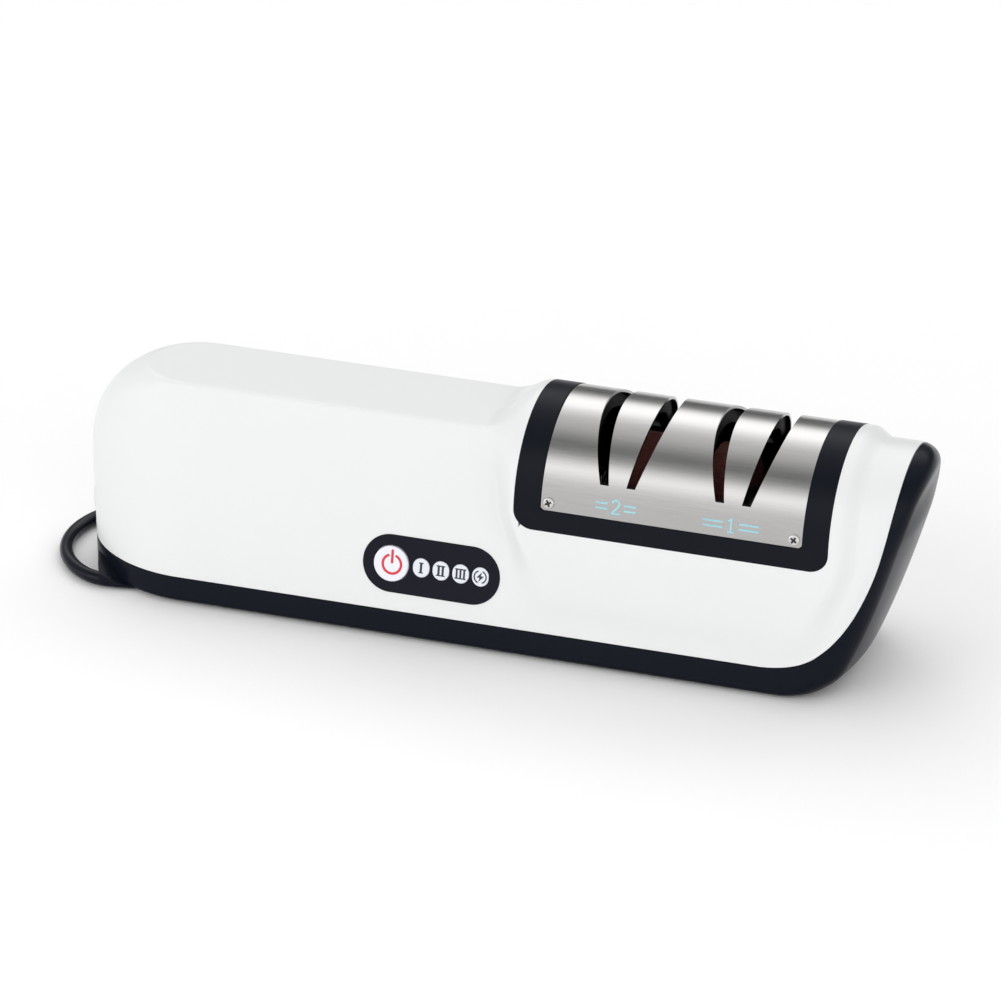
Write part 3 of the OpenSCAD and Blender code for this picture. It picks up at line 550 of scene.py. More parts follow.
def make_shells():
    ox, ps = stations()
    ts = split_angle(ox, ps)
    seam = cast(ox, ps, ts)
    gap, r = 0.07, 0.22
    step = 0.002
    rate = np.linalg.norm(cast(ox, ps, ts + step) - seam, axis=-1) / step
    back = (gap + r) / rate
    top = math.pi / 2

    def rim(patch, edge, toward, n, flip, depth=1.6):
        t = unit(toward - np.sum(toward * n, -1, keepdims=True) * n)
        rings, normals = [edge], [n]
        for i in range(1, 6):
            a = math.pi / 2 * i / 5
            rings.append(edge + r * math.sin(a) * t - r * (1 - math.cos(a)) * n)
            normals.append(n * math.cos(a) + t * math.sin(a))
        rings.append(rings[-1] - depth * n)
        normals.append(t)
        loops(patch, rings, normals, flip=flip)

    # white housing
    white = Patch()
    th = resample(ox, ps, ts + back, np.full(len(ox), top), 104)
    p = cast(ox[:, None], ps[:, None], th)
    n = gradient(p)
    n[:, -1] = (0, 0, 1)

    def keep(c):
        inside = (c[:, 0] > 19.5) & (c[:, 0] < 110.2) & (c[:, 2] > 44.5) & (np.hypot(c[:, 1], c[:, 2] - AXIS_Z) > 27.0)
        # the panel's and the socket's openings
        l = c - PANEL
        u, v, w = l[:, 0], l[:, 1] * SP + l[:, 2] * CP, -l[:, 1] * CP + l[:, 2] * SP
        q = np.hypot(np.clip(np.abs(u) - 12.55, 0, None), v)
        mouth = (np.hypot(np.clip(np.abs(c[:, 1]) - 2.8, 0, None), c[:, 2] - 18.0) < 2.7) & (c[:, 0] < -100)
        return ~inside & ~((q < 7.2) & (np.abs(w) < 3)) & ~mouth
    white.grid(p, n, closed=True, keep=keep)
    # lip round the mouth of the charging socket
    def at_end(q):
        lo, hi = np.full(len(q), -130.0), np.full(len(q), -95.0)
        for _ in range(30):
            mid = (lo + hi) / 2
            out = surface_f(mid, q[:, 0], q[:, 1]) > 0
            lo, hi = np.where(out, mid, lo), np.where(out, hi, mid)
        return np.column_stack([lo, q])
    outer, inner = stadium2(0, 18.0, 12.8, 7.2, 20), stadium2(0, 18.0, 9.4, 3.8, 20)
    no, ni = out2(outer), out2(inner)
    in3 = lambda m: np.column_stack([np.zeros(len(m)), m])
    rings, normals = [at_end(outer)], [in3(no)]
    for k in range(5):
        a = math.pi / 2 * k / 4
        rings.append(at_end(outer - no * 0.35 * (1 - math.cos(a))) - (0.05 + 0.35 * math.sin(a), 0, 0))
        normals.append(in3(no) * math.cos(a) - (math.sin(a), 0, 0))
    for k in range(5):
        a = math.pi / 2 * k / 4
        rings.append(at_end(inner + ni * 0.35 * (1 - math.sin(a))) - (0.05 + 0.35 * math.cos(a), 0, 0))
        normals.append(-in3(ni) * math.sin(a) - (math.cos(a), 0, 0))
    rings.append(at_end(inner) + (3.0, 0, 0))
    normals.append(-in3(ni))
    loops(white, rings, normals)
    rim(white, p[:, 0], seam - p[:, 0], n[:, 0], True)
    # black base with the nose
    black = Patch()
    th = resample(ox, ps, ts - back, np.full(len(ox), math.radians(-78)), 70)
    p = cast(ox[:, None], ps[:, None], th)
    n = gradient(p)
    # stop where the underside is flat, then close it as one plane with holes
    flat = 3.2
    last = np.array([np.argmax((p[i, :, 2] < FOOT_Z + 0.002) & (n[i, :, 2] < -0.9999)) for i in range(len(p))])
    bad = last == 0
    last[bad] = p.shape[1] - 1
    lim = np.array([th[i, last[i]] for i in range(len(p))])
    th = resample(ox, ps, ts - back, lim, 64)
    p = cast(ox[:, None], ps[:, None], th)
    n = gradient(p)
    n[:, -1] = (0, 0, -1)
    black.grid(p, n, closed=True, flip=True)
    rim(black, p[:, 0], seam - p[:, 0], n[:, 0], False)
    ring = p[:, -1, :2]
    z0 = float(np.mean(p[:, -1, 2]))
    keep_pts = [0]
    for i in range(1, len(ring)):
        if np.linalg.norm(ring[i] - ring[keep_pts[-1]]) > 1e-3:
            keep_pts.append(i)
    ring = ring[keep_pts]
    holes = [circle2(x, y, 2.8, 40) for x, y in BOSSES]
    flat3 = lambda q: np.column_stack([q, np.full(len(q), z0)])
    fill(black, ring, holes, flat3, (0, 0, -1))
    for (x, y), h in zip(BOSSES, holes):
        m2 = out2(h)
        m3 = np.column_stack([-m2, np.zeros(len(h))])
        rings = [flat3(h), np.column_stack([h, np.full(len(h), 3.6)])]
        loops(black, rings, [m3, m3], flip=False)
        inner = circle2(x, y, 1.5, 40)
        fill(black, h, [inner], lambda q: np.column_stack([q, np.full(len(q), 3.6)]), (0, 0, -1))
    return white, black


def catmull(pts, per=8):
    pts = np.asarray(pts, float)
    out = []
    for i in range(len(pts) - 1):
        a, b, c, d = pts[max(0, i - 1)], pts[i], pts[i + 1], pts[min(len(pts) - 1, i + 2)]
        for k in range(per):
            t = k / per
            out.append(0.5 * (2 * b + (c - a) * t + (2 * a - 5 * b + 4 * c - d) * t * t + (3 * b - a - 3 * c + d) * t ** 3))
    out.append(pts[-1])
    return np.array(out)


def make_loop():
    """Moulded rod that runs into the base's corner webs."""
    patch = Patch()
    cx, r, z = -106.0, 28.2, 2.5
    arc = [(cx + r * math.cos(math.radians(a)), r * math.sin(math.radians(a)), z) for a in np.linspace(127, 233, 37)]
    tail = [(-120.3, 24.25, z), (-117.4, 25.45, z), (-114.2, 26.0, z - 0.15), (-111.0, 26.0, z - 0.3)]
    pts = [(a, b, c) for a, b, c in tail[::-1]] + arc + [(a, -b, c) for a, b, c in tail]
    c = catmull(pts, 4)
    t = unit(np.gradient(c, axis=0))
    up = np.array([0, 0, 1.0])
    side = unit(np.cross(t, up))
    a = np.linspace(0, 2 * math.pi, 29)
    rod = (2.1 - 0.8 * smooth(-116.0, -111.0, c[:, 0]))[:, None, None]
    n = np.cos(a)[None, :, None] * side[:, None] + np.sin(a)[None, :, None] * up
    p = c[:, None] + rod * n
    patch.grid(p, n, flip=False)
    for e, s in ((0, -1), (-1, 1)):
        ring = p[e][:-1]
        f = list(range(len(ring)))
        patch.add(ring, np.tile(t[e] * s, (len(ring), 1)), [f if s > 0 else f[::-1]])
    return patch


def make_webs(patch):
    """Corner webs that carry the loop, part of the base. They get thinner towards the front."""
    ring = np.array([(-120.9, -12.5), (-119.3, -16.4), (-117.3, -21.2), (-115.5, -25.0), (-115.0, -27.2), (-113.2, -27.85), (-109.3, -27.5),
                     (-105.4, -26.8), (-101, -25.4), (-103, -20), (-112, -14), (-118, -9.5)])
    fine = catmull(np.vstack([ring, ring[:1]]), 6)[:-1]

    def place(a, z):
        return np.column_stack([a, 1.2 + (z - 1.2) * (1 - 0.85 * smooth(-116.0, -106.0, a[:, 0]))])
    for s in (1, -1):
        q = fine * (1, s)
        if s < 0:
            q = q[::-1]
        slab(patch, q, 4.9, 1.2, 0.8, place, (np.array([1.0, 0, 0]), np.array([0, 1.0, 0]), np.array([0, 0, 1.0])), under=True)


# ------------------------------------------------------------------ sheet bent over the arch
QUARTER = math.pi / 2


def arch_point(x, s, r, rs=28.5):
    """x along the arch and s round it, measured at radius rs from the top, positive towards the front."""
    x, s, r = np.broadcast_arrays(np.asarray(x, float), np.asarray(s, float), np.asarray(r, float))
    a = np.clip(np.abs(s) / rs, 0, QUARTER)
    leg = np.clip(np.abs(s) - rs * QUARTER, 0, None)
    sg = np.where(s < 0, 1.0, -1.0)
    p = np.stack([x, sg * r * np.sin(a), AXIS_Z + r * np.cos(a) - leg], -1)
    n = np.stack([np.zeros_like(a), sg * np.sin(a), np.cos(a)], -1)
    t = np.stack([np.zeros_like(a), -np.cos(a), sg * np.sin(a)], -1)
    t = np.where((s < 0)[..., None], np.stack([np.zeros_like(a), -np.cos(a), np.sin(a)], -1), np.stack([np.zeros_like(a), -np.cos(a), -np.sin(a)], -1))
    return p, n, t


def s_of_z(z, rs=28.5, r=28.5):
    """Arc length from the top at which the front of the arch has height z."""
    if z < AXIS_Z:
        return rs * QUARTER + (AXIS_Z - z)
    return rs * math.acos((z - AXIS_Z) / r)


def frame_ring(x0, x1, z0, r, step=0.8, rs=28.5):
    """Closed outline, seen unrolled: down the left side at the front, along, up over the top, and the same at the back."""
    s0 = s_of_z(z0)
    pts = []
    arc = lambda cx, cs, a0, a1: [(cx + r * math.cos(a), cs + r * math.sin(a)) for a in np.linspace(a0, a1, 16)]
    n = 90
    pts += [(x0, s) for s in np.linspace(-(s0 - r), s0 - r, n)[:-1]]
    pts += arc(x0 + r, s0 - r, math.pi, QUARTER)
    pts += [(x, s0) for x in np.linspace(x0 + r, x1 - r, 60)[1:-1]]
    pts += arc(x1 - r, s0 - r, QUARTER, 0)
    pts += [(x1, s) for s in np.linspace(s0 - r, -(s0 - r), n)[1:-1]]
    pts += arc(x1 - r, -(s0 - r), 0, -QUARTER)
    pts += [(x, -s0) for x in np.linspace(x1 - r, x0 + r, 60)[1:-1]]
    pts += arc(x0 + r, -(s0 - r), -QUARTER, -math.pi)
    return np.array(pts)


def make_bezel():
    patch = Patch()
    outer = frame_ring(17.2, 112.4, 42.0, 6.0)
    inner = frame_ring(25.6, 104.4, 49.0, 0.9)
    no, ni = out2(outer), out2(inner)

    def lift(q, n2, r, ca, sa):
        p, n, t = arch_point(q[:, 0], q[:, 1], r)
        o = n2[:, :1] * np.array([1.0, 0, 0]) + n2[:, 1:] * t
        return p, unit(o * ca + n * sa)
    rings, normals = [], []
    e = 0.55
    p, n = lift(outer, no, 26.0, 1, 0)
    rings.append(p), normals.append(n)
    for i in range(7):
        a = QUARTER * i / 6
        p, n = lift(outer - no * e * (1 - math.cos(a)), no, 28.5 - e + e * math.sin(a), math.cos(a), math.sin(a))
        rings.append(p), normals.append(n)
    a0, b0 = outer - no * e, inner + ni * 0.25
    for k in np.linspace(0, 1, 9)[1:]:
        p, n = lift(a0 * (1 - k) + b0 * k, no, 28.5, 0, 1)
        rings.append(p), normals.append(n)
    for i in range(1, 5):
        a = QUARTER * i / 4
        p, n = lift(inner + ni * 0.25 * (1 - math.sin(a)), -ni, 28.5 - 0.25 * (1 - math.cos(a)), math.sin(a), math.cos(a))
        rings.append(p), normals.append(n)
    p, n = lift(inner, -ni, 27.5, 1, 0)
    rings.append(p), normals.append(n)
    n2 = n * 0 + arch_point(inner[:, 0], inner[:, 1], 27.5)[1]
    rings.append(p), normals.append(n2)
    # seat under the steel cover, open over the guide
    win = frame_ring(31.4, 98.6, 54.6, 1.6)
    p, n, _ = arch_point(win[:, 0], win[:, 1], 27.5)
    rings.append(p), normals.append(n)
    nw = out2(win)
    p1, n1 = lift(win, -nw, 27.5, 1, 0)
    rings.append(p1), normals.append(n1)
    p1, n1 = lift(win, -nw, 25.7, 1, 0)
    rings.append(p1), normals.append(n1)
    loops(patch, rings, normals)
    return patch


SLOTS = [(44.2, -1), (52.1, 1), (78.9, -1), (86.8, 1)]


def slot_edges(z, xc, lean):
    h = np.clip(z - 58.5, 0, None)
    c = xc + lean * 0.265 * h
    w = (2.6 + 0.15 * h) / 2
    return c - w, c + w


def make_cover():
    """Steel sheet with four slots, in strips between the slots' edges."""
    patch = Patch()
    ro, ri = 28.3, 27.52
    x0, x1 = 25.75, 104.25
    s_end = s_of_z(49.15, 28.5, 28.3)
    s_slot = s_of_z(58.5, 28.5, 28.3)
    s = np.unique(np.round(np.concatenate([np.linspace(-s_end, -s_slot, 18), np.linspace(-s_slot, s_slot, 150), np.linspace(s_slot, s_end, 18)]), 6))
    z = AXIS_Z + 28.3 * np.cos(np.clip(np.abs(s) / 28.5, 0, QUARTER))
    lines = [np.full(len(s), x0)]
    for xc, lean in SLOTS:
        a, b = slot_edges(z, xc, lean)
        lines += [a, b]
    lines.append(np.full(len(s), x1))
    r0 = 0.35
    e = 0.12
    # rounded corners of the sheet
    for i in range(len(lines) - 1):
        a, b = lines[i], lines[i + 1]
        is_slot = i % 2 == 1
        cols = 3 if is_slot else 8
        k = np.linspace(0, 1, cols)
        xs = a[:, None] * (1 - k) + b[:, None] * k
        ss = np.tile(s[:, None], (1, cols))
        if i == 0 or i == len(lines) - 2:
            # trim the outer corners to a small radius
            edge = s_end - np.abs(s)
            cut = np.where(edge < 0.9, 0.9 - np.sqrt(np.clip(0.81 - (0.9 - edge) ** 2, 0, None)), 0)
            if i == 0:
                xs = (a + cut)[:, None] * (1 - k) + b[:, None] * k
            else:
                xs = a[:, None] * (1 - k) + (b - cut)[:, None] * k
        for r, up in ((ro, 1), (ri, -1)):
            p, n, _ = arch_point(xs, ss, r)
            if is_slot:
                solid = np.abs(s) >= s_slot - 1e-5
                for part in (np.where(solid & (s < 0))[0], np.where(solid & (s > 0))[0]):
                    patch.grid(p[part], n[part] * up, flip=up > 0)
            else:
                patch.grid(p, n * up, flip=up > 0)
    # walls of the slots and of the outline
    inside = np.abs(s) <= s_slot + 1e-5
    si = s[inside]
    for j in range(1, len(lines) - 1):
        x = lines[j][inside]
        right = j % 2 == 0
        d = np.gradient(x, si)
        a, n, t = arch_point(x, si, ro)
        b, _, _ = arch_point(x, si, ri)
        w = unit(np.array([1.0, 0, 0]) - d[:, None] * t) * (-1 if right else 1)
        patch.grid(np.stack([a, b], 1), np.stack([w, w], 1), flip=not right)
    for sg in (-1, 1):
        for q in range(4):
            xa, xb = lines[2 * q + 1][np.argmin(np.abs(s - sg * s_slot))], lines[2 * q + 2][np.argmin(np.abs(s - sg * s_slot))]
            x = np.array([xa, xb])
            a, n, t = arch_point(x, np.full(2, sg * s_slot), ro)
            b, _, _ = arch_point(x, np.full(2, sg * s_slot), ri)
            patch.grid(np.stack([a, b], 1), np.stack([-sg * t, -sg * t], 1), flip=sg > 0)
    edge = s_end - np.abs(s)
    cut = np.where(edge < 0.9, 0.9 - np.sqrt(np.clip(0.81 - (0.9 - edge) ** 2, 0, None)), 0)
    for x, sx in ((lines[0] + cut, -1), (lines[-1] - cut, 1)):
        a, n, t = arch_point(x, s, ro)
        b, _, _ = arch_point(x, s, ri)
        d = np.gradient(x, s)
        w = unit(sx * (np.array([1.0, 0, 0]) - d[:, None] * t))
        patch.grid(np.stack([a, b], 1), np.stack([w, w], 1), flip=sx > 0)
    for sg in (-1, 1):
        x = np.array([x0 + 0.9, x1 - 0.9])
        a, n, t = arch_point(x, np.full(2, sg * s_end), ro)
        b, _, _ = arch_point(x, np.full(2, sg * s_end), ri)
        patch.grid(np.stack([a, b], 1), np.stack([sg * t, sg * t], 1), flip=sg < 0)
    return patch


def on_arch(patch, ring, r, thick, mat=0):
    """Thin inlay on the front of the cover: ring is in (x, s) and gets its own thickness."""
    n2 = out2(ring)
    a, n, t = arch_point(ring[:, 0], ring[:, 1], r + thick)
    b, _, _ = arch_point(ring[:, 0], ring[:, 1], r - 0.05)
    w = n2[:, :1] * np.array([1.0, 0, 0]) + n2[:, 1:] * t
    loops(patch, [b, a], [w, w], mat=mat)
    fill(patch, ring, [], lambda q: arch_point(q[:, 0], q[:, 1], r + thick)[0], (0, -1, 0.2), mat)


def stroke(pts, w):
    """Outline of a polyline with width w and round ends."""
    pts = np.asarray(pts, float)
    t = unit(np.gradient(pts, axis=0))
    n = np.stack([-t[:, 1], t[:, 0]], -1)
    a = pts + n * w / 2
    b = pts - n * w / 2
    ang = np.linspace(0, math.pi, 7)[1:-1]

    def cap(c, d, m):
        return np.array([c + w / 2 * (m * math.cos(q) + d * math.sin(q)) for q in ang])
    ring = np.concatenate([a, cap(pts[-1], t[-1], n[-1]), b[::-1], cap(pts[0], -t[0], -n[0])])
    return ring


def arc2(cx, cy, rx, ry, a0, a1, n=14):
    a = np.radians(np.linspace(a0, a1, n))
    return [(cx + rx * math.cos(q), cy + ry * math.sin(q)) for q in a]


def make_marks():
    """Plain stage numbers between short dashes, below the two pairs of slots."""
    patch = Patch()
    w = 0.5

    def put(strokes, x, z, slant=0.0):
        for st in strokes:
            ring = stroke(st, w)
            q = np.column_stack([x + ring[:, 0], [s_of_z(z + v, 28.5, 28.3) for v in ring[:, 1]]])
            on_arch(patch, q, 28.3, 0.03)
    two = [arc2(0, 0.95, 1.05, 1.0, 165, -35, 14) + [(-1.1, -1.9)], [(-1.1, -1.9), (0, -1.9), (1.15, -1.9)]]
    one = [[(-0.75, 1.25), (-0.35, 1.55), (0.05, 1.9)], [(0.05, 1.9), (0.05, 0), (0.05, -1.9)], [(-0.75, -1.9), (0, -1.9), (0.85, -1.9)]]
    dash = lambda a, b: [[(a, 0.75), ((a + b) / 2, 0.75), (b, 0.75)], [(a, -0.75), ((a + b) / 2, -0.75), (b, -0.75)]]
    put(two, 48.3, 53.0)
    put(dash(-5.9, -2.7) + dash(2.7, 5.9), 48.3, 53.0)
    put(one, 82.9, 52.7)
    put(dash(-8.2, -2.6) + dash(2.6, 8.2), 82.9, 52.7)
    return patch


# ------------------------------------------------------------------ panel, button, lenses
EX = np.array([1.0, 0, 0])
EV = np.array([0, SP, CP])
EN = np.array([0, -CP, SP])


def face_place(dx=0.0):
    def place(q, z):
        q = np.asarray(q, float)
        z = np.broadcast_to(np.asarray(z, float), (len(q),))
        return PANEL + (q[:, :1] + dx) * EX + q[:, 1:] * EV + z[:, None] * EN
    return place


LENS_X = [-3.08, 3.05, 9.19, 15.33]
BUTTON_X = -12.36


def make_panel():
    patch = Patch()
    holes = [circle2(BUTTON_X, 0, 5.72, 72)] + [lens2(x, 0, 2.66) for x in LENS_X]
    slab(patch, stadium2(0, 0, 42.7, 17.6, 48), 0.25, -1.25, 0.24, face_place(), (EX, EV, EN), holes=holes)
    return patch


def lathe(patch, prof, place, axes, n=72, mat=0, smooth_steps=True):
    """prof: list of (radius, height, normal_r, normal_h) from the rim inwards."""
    ex, ev, en = axes
    a = np.linspace(0, 2 * math.pi, n, endpoint=False)
    rings, normals = [], []
    for r, h, nr, nh in prof:
        q = np.stack([r * np.cos(a), r * np.sin(a)], -1)
        rings.append(place(q, h))
        normals.append(unit((np.cos(a)[:, None] * ex + np.sin(a)[:, None] * ev) * nr + en * nh))
    loops(patch, rings, normals, mat=mat)


def make_button():
    patch = Patch()
    prof = [(6.2, -2.3, 1, 0), (6.2, -1.72, 1, 0), (6.2, -1.7, 0, 1), (5.4, -1.7, 0, 1), (5.4, -1.7, 1, 0), (5.4, 0.45, 1, 0)]
    for i in range(1, 7):
        a = QUARTER * i / 6
        prof.append((5.4 - 0.42 * (1 - math.cos(a)), 0.45 + 0.42 * math.sin(a), math.cos(a), math.sin(a)))
    for r in np.linspace(4.8, 0.001, 9):
        prof.append((r, 0.87 - 0.10 * (1 - (r / 4.9) ** 2), -0.02 * r / 4.9, 1))
    lathe(patch, prof, face_place(BUTTON_X), (EX, EV, EN))
    lathe(patch, [(0.001, -2.3, 0, -1), (6.2, -2.3, 0, -1)], face_place(BUTTON_X), (EX, EV, EN))
    lathe(patch, [(0.001, -5.2, 0, -1), (2, -5.2, 0, -1), (2, -5.2, 1, 0), (2, -2.3, 1, 0)], face_place(BUTTON_X), (EX, EV, EN), 32)
    # ring symbol with a bar
    place = face_place(BUTTON_X)
    ring = stroke(arc2(0.35, -0.05, 2.86, 2.86, 90 + 26, 450 - 26, 60), 0.78)
    dish = lambda q: 0.87 - 0.10 * (1 - (q[:, 0] ** 2 + q[:, 1] ** 2) / 24.0)
    for g in (ring, stroke([(0.35, 0.5), (0.35, 2.3), (0.35, 4.1)], 0.78)):
        n2 = out2(g)
        n3 = n2[:, :1] * EX + n2[:, 1:] * EV
        loops(patch, [place(g, dish(g) - 0.1), place(g, dish(g) + 0.035)], [n3, n3], mat=1)
        fill(patch, g, [], lambda q: place(q, dish(q) + 0.035), EN, 1)
    return patch


def make_lenses():
    patch = Patch()
    for x in LENS_X:
        slab(patch, lens2(x, 0, 2.6), 0.34, -2.4, 0.3, face_place(), (EX, EV, EN))
    place = face_place()

    def ink(g, x):
        g = np.asarray(g) + (x, 0)
        n2 = out2(g)
        n3 = n2[:, :1] * EX + n2[:, 1:] * EV
        loops(patch, [place(g, 0.3), place(g, 0.36)], [n3, n3], mat=1)
        fill(patch, g, [], lambda q: place(q, 0.36), EN, 1)
    rect = lambda a, b, c, d: [(a, b), (c, b), (c, d), (a, d)]

    def numeral(x, count, h, pitch, stem, serif):
        for i in range(count):
            c = (i - (count - 1) / 2) * pitch
            ink(rect(c - stem / 2, -h / 2 + 0.1, c + stem / 2, h / 2 - 0.1), x)
        w = (count - 1) * pitch / 2 + serif
        for s in (-1, 1):
            ink(rect(-w, s * h / 2 - 0.19, w, s * h / 2 + 0.19), x)
    numeral(LENS_X[0], 1, 2.9, 0, 0.72, 0.68)
    numeral(LENS_X[1], 2, 2.9, 1.28, 0.7, 0.72)
    numeral(LENS_X[2], 3, 2.8, 1.16, 0.6, 0.56)
    # charging sign: a bolt in a broken circle
    for a0, a1 in ((115, 245), (-65, 65)):
        ink(stroke(arc2(0, 0, 1.85, 1.85, a0, a1, 30), 0.42), LENS_X[3])
    ink([(0.5, 1.55), (-1.15, -0.25), (-0.2, -0.25), (-0.5, -1.55), (1.15, 0.3), (0.2, 0.3)], LENS_X[3])
    return patch


# ------------------------------------------------------------------ screws of the cover
def make_cover_screws():
    patch = Patch()
    for x in (28.1, 101.9):
        for sd in (-1, 1):
            el = math.radians(11)
            en = np.array([0, sd * math.cos(el), math.sin(el)])
            ex = np.array([1.0, 0, 0]) * (1 if sd < 0 else -1)
            ev = np.cross(en, ex)
            base = np.array([x, 0, AXIS_Z]) + 28.3 * en

            def place(q, z, base=base, ex=ex, ev=ev, en=en):
                q = np.asarray(q, float)
                z = np.broadcast_to(np.asarray(z, float), (len(q),))
                return base + q[:, :1] * ex + q[:, 1:] * ev + z[:, None] * en
            turn = math.radians(24 if x < 50 else 57)
            w, l = 0.33, 1.06
            cross = []
            for k in range(4):
                a = k * QUARTER + turn
                c, s = math.cos(a), math.sin(a)
                for u, v in ((w, -w), (l, -w * 0.8), (l, w * 0.8)):
                    cross.append((u * c - v * s, u * s + v * c))
            cross = np.array(cross)
            prof = [(1.68, 0.02, 1, 0), (1.68, 0.25, 1, 0)]
            for i in range(1, 8):
                a = QUARTER * i / 7 * 0.9
                prof.append((1.68 - 0.48 * (1 - math.cos(a)), 0.25 + 0.55 * math.sin(a), math.cos(a), math.sin(a) * 1.1))
            prof.append((1.12, prof[-1][1] + 0.02, 0, 1))
            lathe(patch, prof, place, (ex, ev, en), 40)
            top = prof[-1][1]
            rim = circle2(0, 0, 1.12, 40)
            fill(patch, rim, [cross], lambda q: place(q, top), en)
            # the walls and floor of the cross recess take the second, dark material: painted shade in the recess, not
            # the screw's own metal colour
            m2 = out2(cross)
            m3 = -(m2[:, :1] * ex + m2[:, 1:] * ev)
            loops(patch, [place(cross, top - 0.5), place(cross, top)], [m3, m3], flip=True, mat=1)
            fill(patch, cross, [], lambda q: place(q, top - 0.5), en, 1)
            lathe(patch, [(0.001, -6, 0, -1), (0.85, -6, 0, -1), (0.85, -6, 1, 0), (0.85, 0.02, 1, 0), (0.85, 0.02, 0, -1), (1.68, 0.02, 0, -1)], place, (ex, ev, en), 24)
    return patch


# ------------------------------------------------------------------ build
white, black = make_shells()
housing = white.object("housing_shell", M["white"], slot="housing", replaces=("upper_housing",))
make_webs(black)
base = black.object("base_shell", M["black"], slot="trim", replaces=("base_tray",))
loop = make_loop().object("loop_rod", M["loop"], slot="trim", replaces=("hanging_loop",))
bezel = make_bezel().object("bezel_frame", M["bezel"], slot="trim", replaces=("guide_bezel",))
cover = make_cover().object("cover_sheet", M["cover"], slot="cover_steel", replaces=("slot_cover",))
marks = make_marks().object("stage_marks", M["mark"], slot="cover_steel")
panel = make_panel().object("panel_plate", M["panel"], slot="trim", replaces=("control_panel",))
button = make_button().object("button_cap", [M["button"], M["red"]], body="button", slot="button", replaces=("power_button",))
lenses = make_lenses().object("lens_set", [M["lens"], M["ink"]], slot="lens", replaces=("indicator_lenses",))
screws = make_cover_screws().object("cover_screw_set", [M["screw"], M["ink"]], slot="screw_steel", replaces=("cover_screws",))

LOOKS = {
    "blade_guide": "guide", "rubber_feet": "rubber", "housing_screws": "screw", "charge_socket": "nickel",
    "control_board": "board", "board_screws": "screw", "tact_switch": "switch", "switch_plunger": "ivory",
    "indicator_leds": "led", "battery_cells": "wrap", "battery_tabs": "nickel", "battery_cradle": "inner",
    "motor_can": "can", "motor_end_cap": "ivory", "motor_magnets": "magnet", "motor_bushes": "bronze",
    "motor_brushes": "copper", "armature_core": "core", "armature_windings": "copper", "commutator": "copper",
    "motor_shaft": "shaft", "motor_bracket": "inner", "motor_screws": "screw", "shaft_coupling": "shaft",
    "coupling_screws": "switch", "wheel_shaft": "shaft", "shaft_bushes": "bronze", "bearing_posts": "inner",
    "fine_hub": "hub", "fine_wheel": "fine", "coarse_hub": "hub", "coarse_wheel": "coarse", "spacer_sleeve": "oxide",
    "fine_spring": "oxide", "coarse_spring": "oxide", "spring_collars": "oxide", "wire_leads": "wire",
}
for name, look in LOOKS.items():
    o = nodes[name]
    for s in o.material_slots:
        s.material = M[look]

# ------------------------------------------------------------------ stage, light, camera
scene = bpy.context.scene


def stage_mat():
    m, t, b = new_mat("floor_pale")
    v = coords(t)
    t.links.new(ramp(t, noise(t, v, 3.0, 2.0), [(0.3, (0.94, 0.94, 0.94)), (0.7, (0.95, 0.95, 0.95))]), b.inputs["Base Color"])
    b.inputs["Roughness"].default_value = 0.85
    b.inputs["Specular IOR Level"].default_value = 0.1
    return m


me = bpy.data.meshes.new("floor")
me.from_pydata([(-6, -6, 0), (6, -6, 0), (6, 6, 0), (-6, 6, 0)], [], [(0, 1, 2, 3)])
floor = bpy.data.objects.new("floor", me)
bpy.context.collection.objects.link(floor)
me.materials.append(stage_mat())

world = bpy.data.worlds.new("world")
scene.world = world
world.use_nodes = True
wt = world.node_tree
bg = wt.nodes["Background"]
way = wt.nodes.new("ShaderNodeTexCoord")
parts = wt.nodes.new("ShaderNodeSeparateXYZ")
wt.links.new(way.outputs["Generated"], parts.inputs["Vector"])


def calc(kind, a, b=None):
    n = wt.nodes.new("ShaderNodeMath")
    n.operation = kind
    for k, v in enumerate((a, b)):
        if isinstance(v, (int, float)):
            n.inputs[k].default_value = v
        elif v is not None:
            wt.links.new(v, n.inputs[k])
    return n.outputs["Value"]


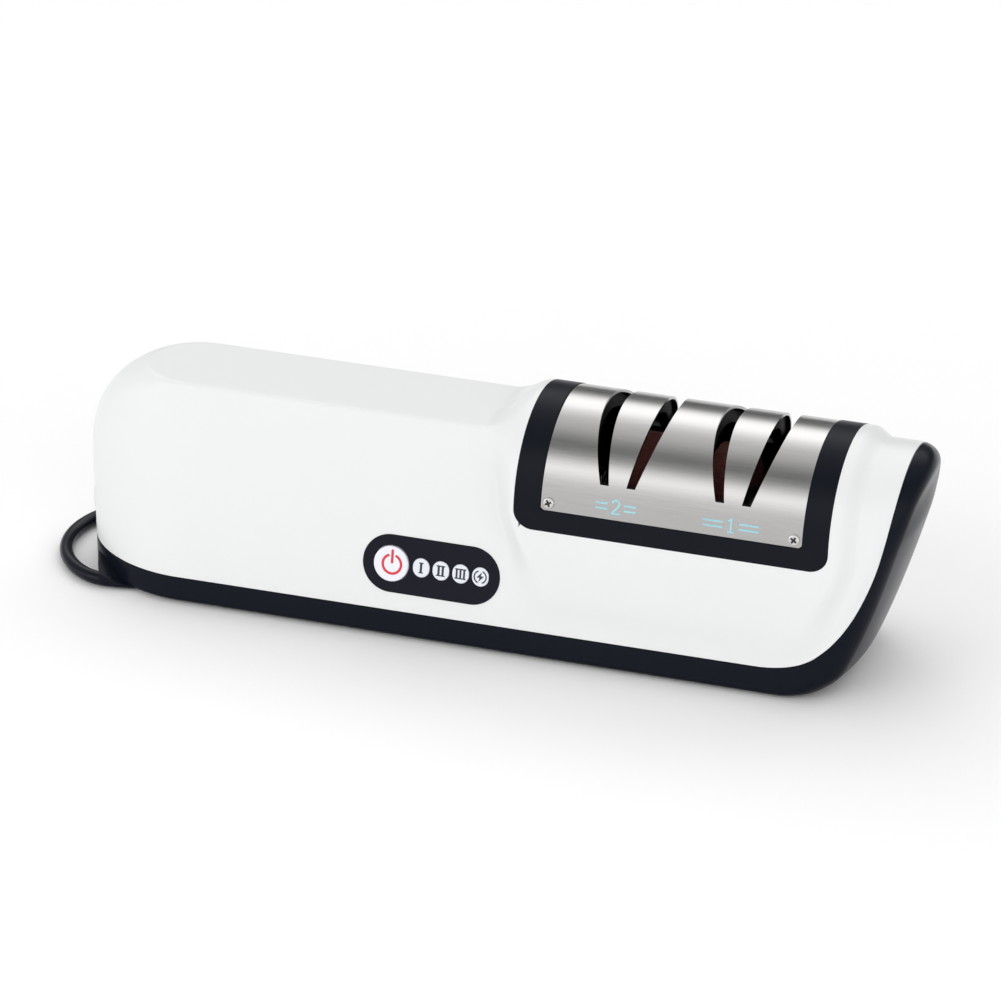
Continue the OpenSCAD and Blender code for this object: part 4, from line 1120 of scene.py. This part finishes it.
# brightness by the angle counted from the front horizon over the top
grey = lambda *stops: [(d / 180, (k, k, k)) for d, k in stops]
turn = calc("DIVIDE", calc("ARCTAN2", parts.outputs["Z"], calc("MULTIPLY", parts.outputs["Y"], -1.0)), math.pi)
mid_sky = ramp(wt, turn, grey((0, 1.0), (20, 1.05), (30, 1.45), (38, 2.0), (46, 1.45), (56, 0.5), (68, 0.2), (78, 0.45), (90, 0.8),
                              (105, 1.0), (116, 1.45), (126, 2.25), (140, 2.25), (147, 1.5), (154, 0.3), (170, 0.12), (180, 0.25)))
side_sky = ramp(wt, turn, grey((0, 1.75), (40, 1.6), (70, 0.7), (110, 0.5), (140, 0.6), (180, 0.5)))
blend = wt.nodes.new("ShaderNodeMix")
blend.data_type = "RGBA"
wt.links.new(remap(wt, calc("ABSOLUTE", parts.outputs["X"]), 0.42, 0.78, 0.0, 1.0), blend.inputs[0])
wt.links.new(mid_sky, blend.inputs[6])
wt.links.new(side_sky, blend.inputs[7])
wt.links.new(blend.outputs[2], bg.inputs["Color"])
bg.inputs["Strength"].default_value = 1.04


def area(name, place, target, sx, sy, radiance):
    d = bpy.data.lights.new(name, "AREA")
    d.shape = "RECTANGLE"
    d.size, d.size_y = sx, sy
    d.energy = radiance * math.pi * sx * sy
    o = bpy.data.objects.new(name, d)
    o.location = place
    o.rotation_euler = (Vector(target) - Vector(place)).to_track_quat("-Z", "Y").to_euler()
    bpy.context.collection.objects.link(o)
    return o


area("left_box", (-1.25, -1.3, 0.75), (0, 0, 0.05), 0.9, 0.9, 1.0)

F = 5466.3
az, el = math.radians(18.0), math.radians(26.3)
f = np.array([-math.sin(az) * math.cos(el), math.cos(az) * math.cos(el), -math.sin(el)])
r = np.array([math.cos(az), math.sin(az), 0.0])
u = np.cross(r, f)
eye = (np.array([25.6, 0, 38.2]) - 1612.3 * f) * 0.001
f = unit(f - 69.73 / F * r + 1.43 / F * u)
r = unit(np.cross(f, [0, 0, 1.0]))
u = np.cross(r, f)
cam = bpy.data.cameras.new("camera")
cam.sensor_width = 36.0
cam.lens = F / 1001 * 36.0
cam.clip_start, cam.clip_end = 0.1, 20.0
camera = bpy.data.objects.new("camera", cam)
bpy.context.collection.objects.link(camera)
m = Matrix([[r[0], u[0], -f[0], eye[0]], [r[1], u[1], -f[1], eye[1]], [r[2], u[2], -f[2], eye[2]], [0, 0, 0, 1]])
camera.matrix_world = m
scene.camera = camera

scene.view_settings.view_transform = "Standard"
scene.view_settings.look = "None"
scene.view_settings.exposure = 0.0
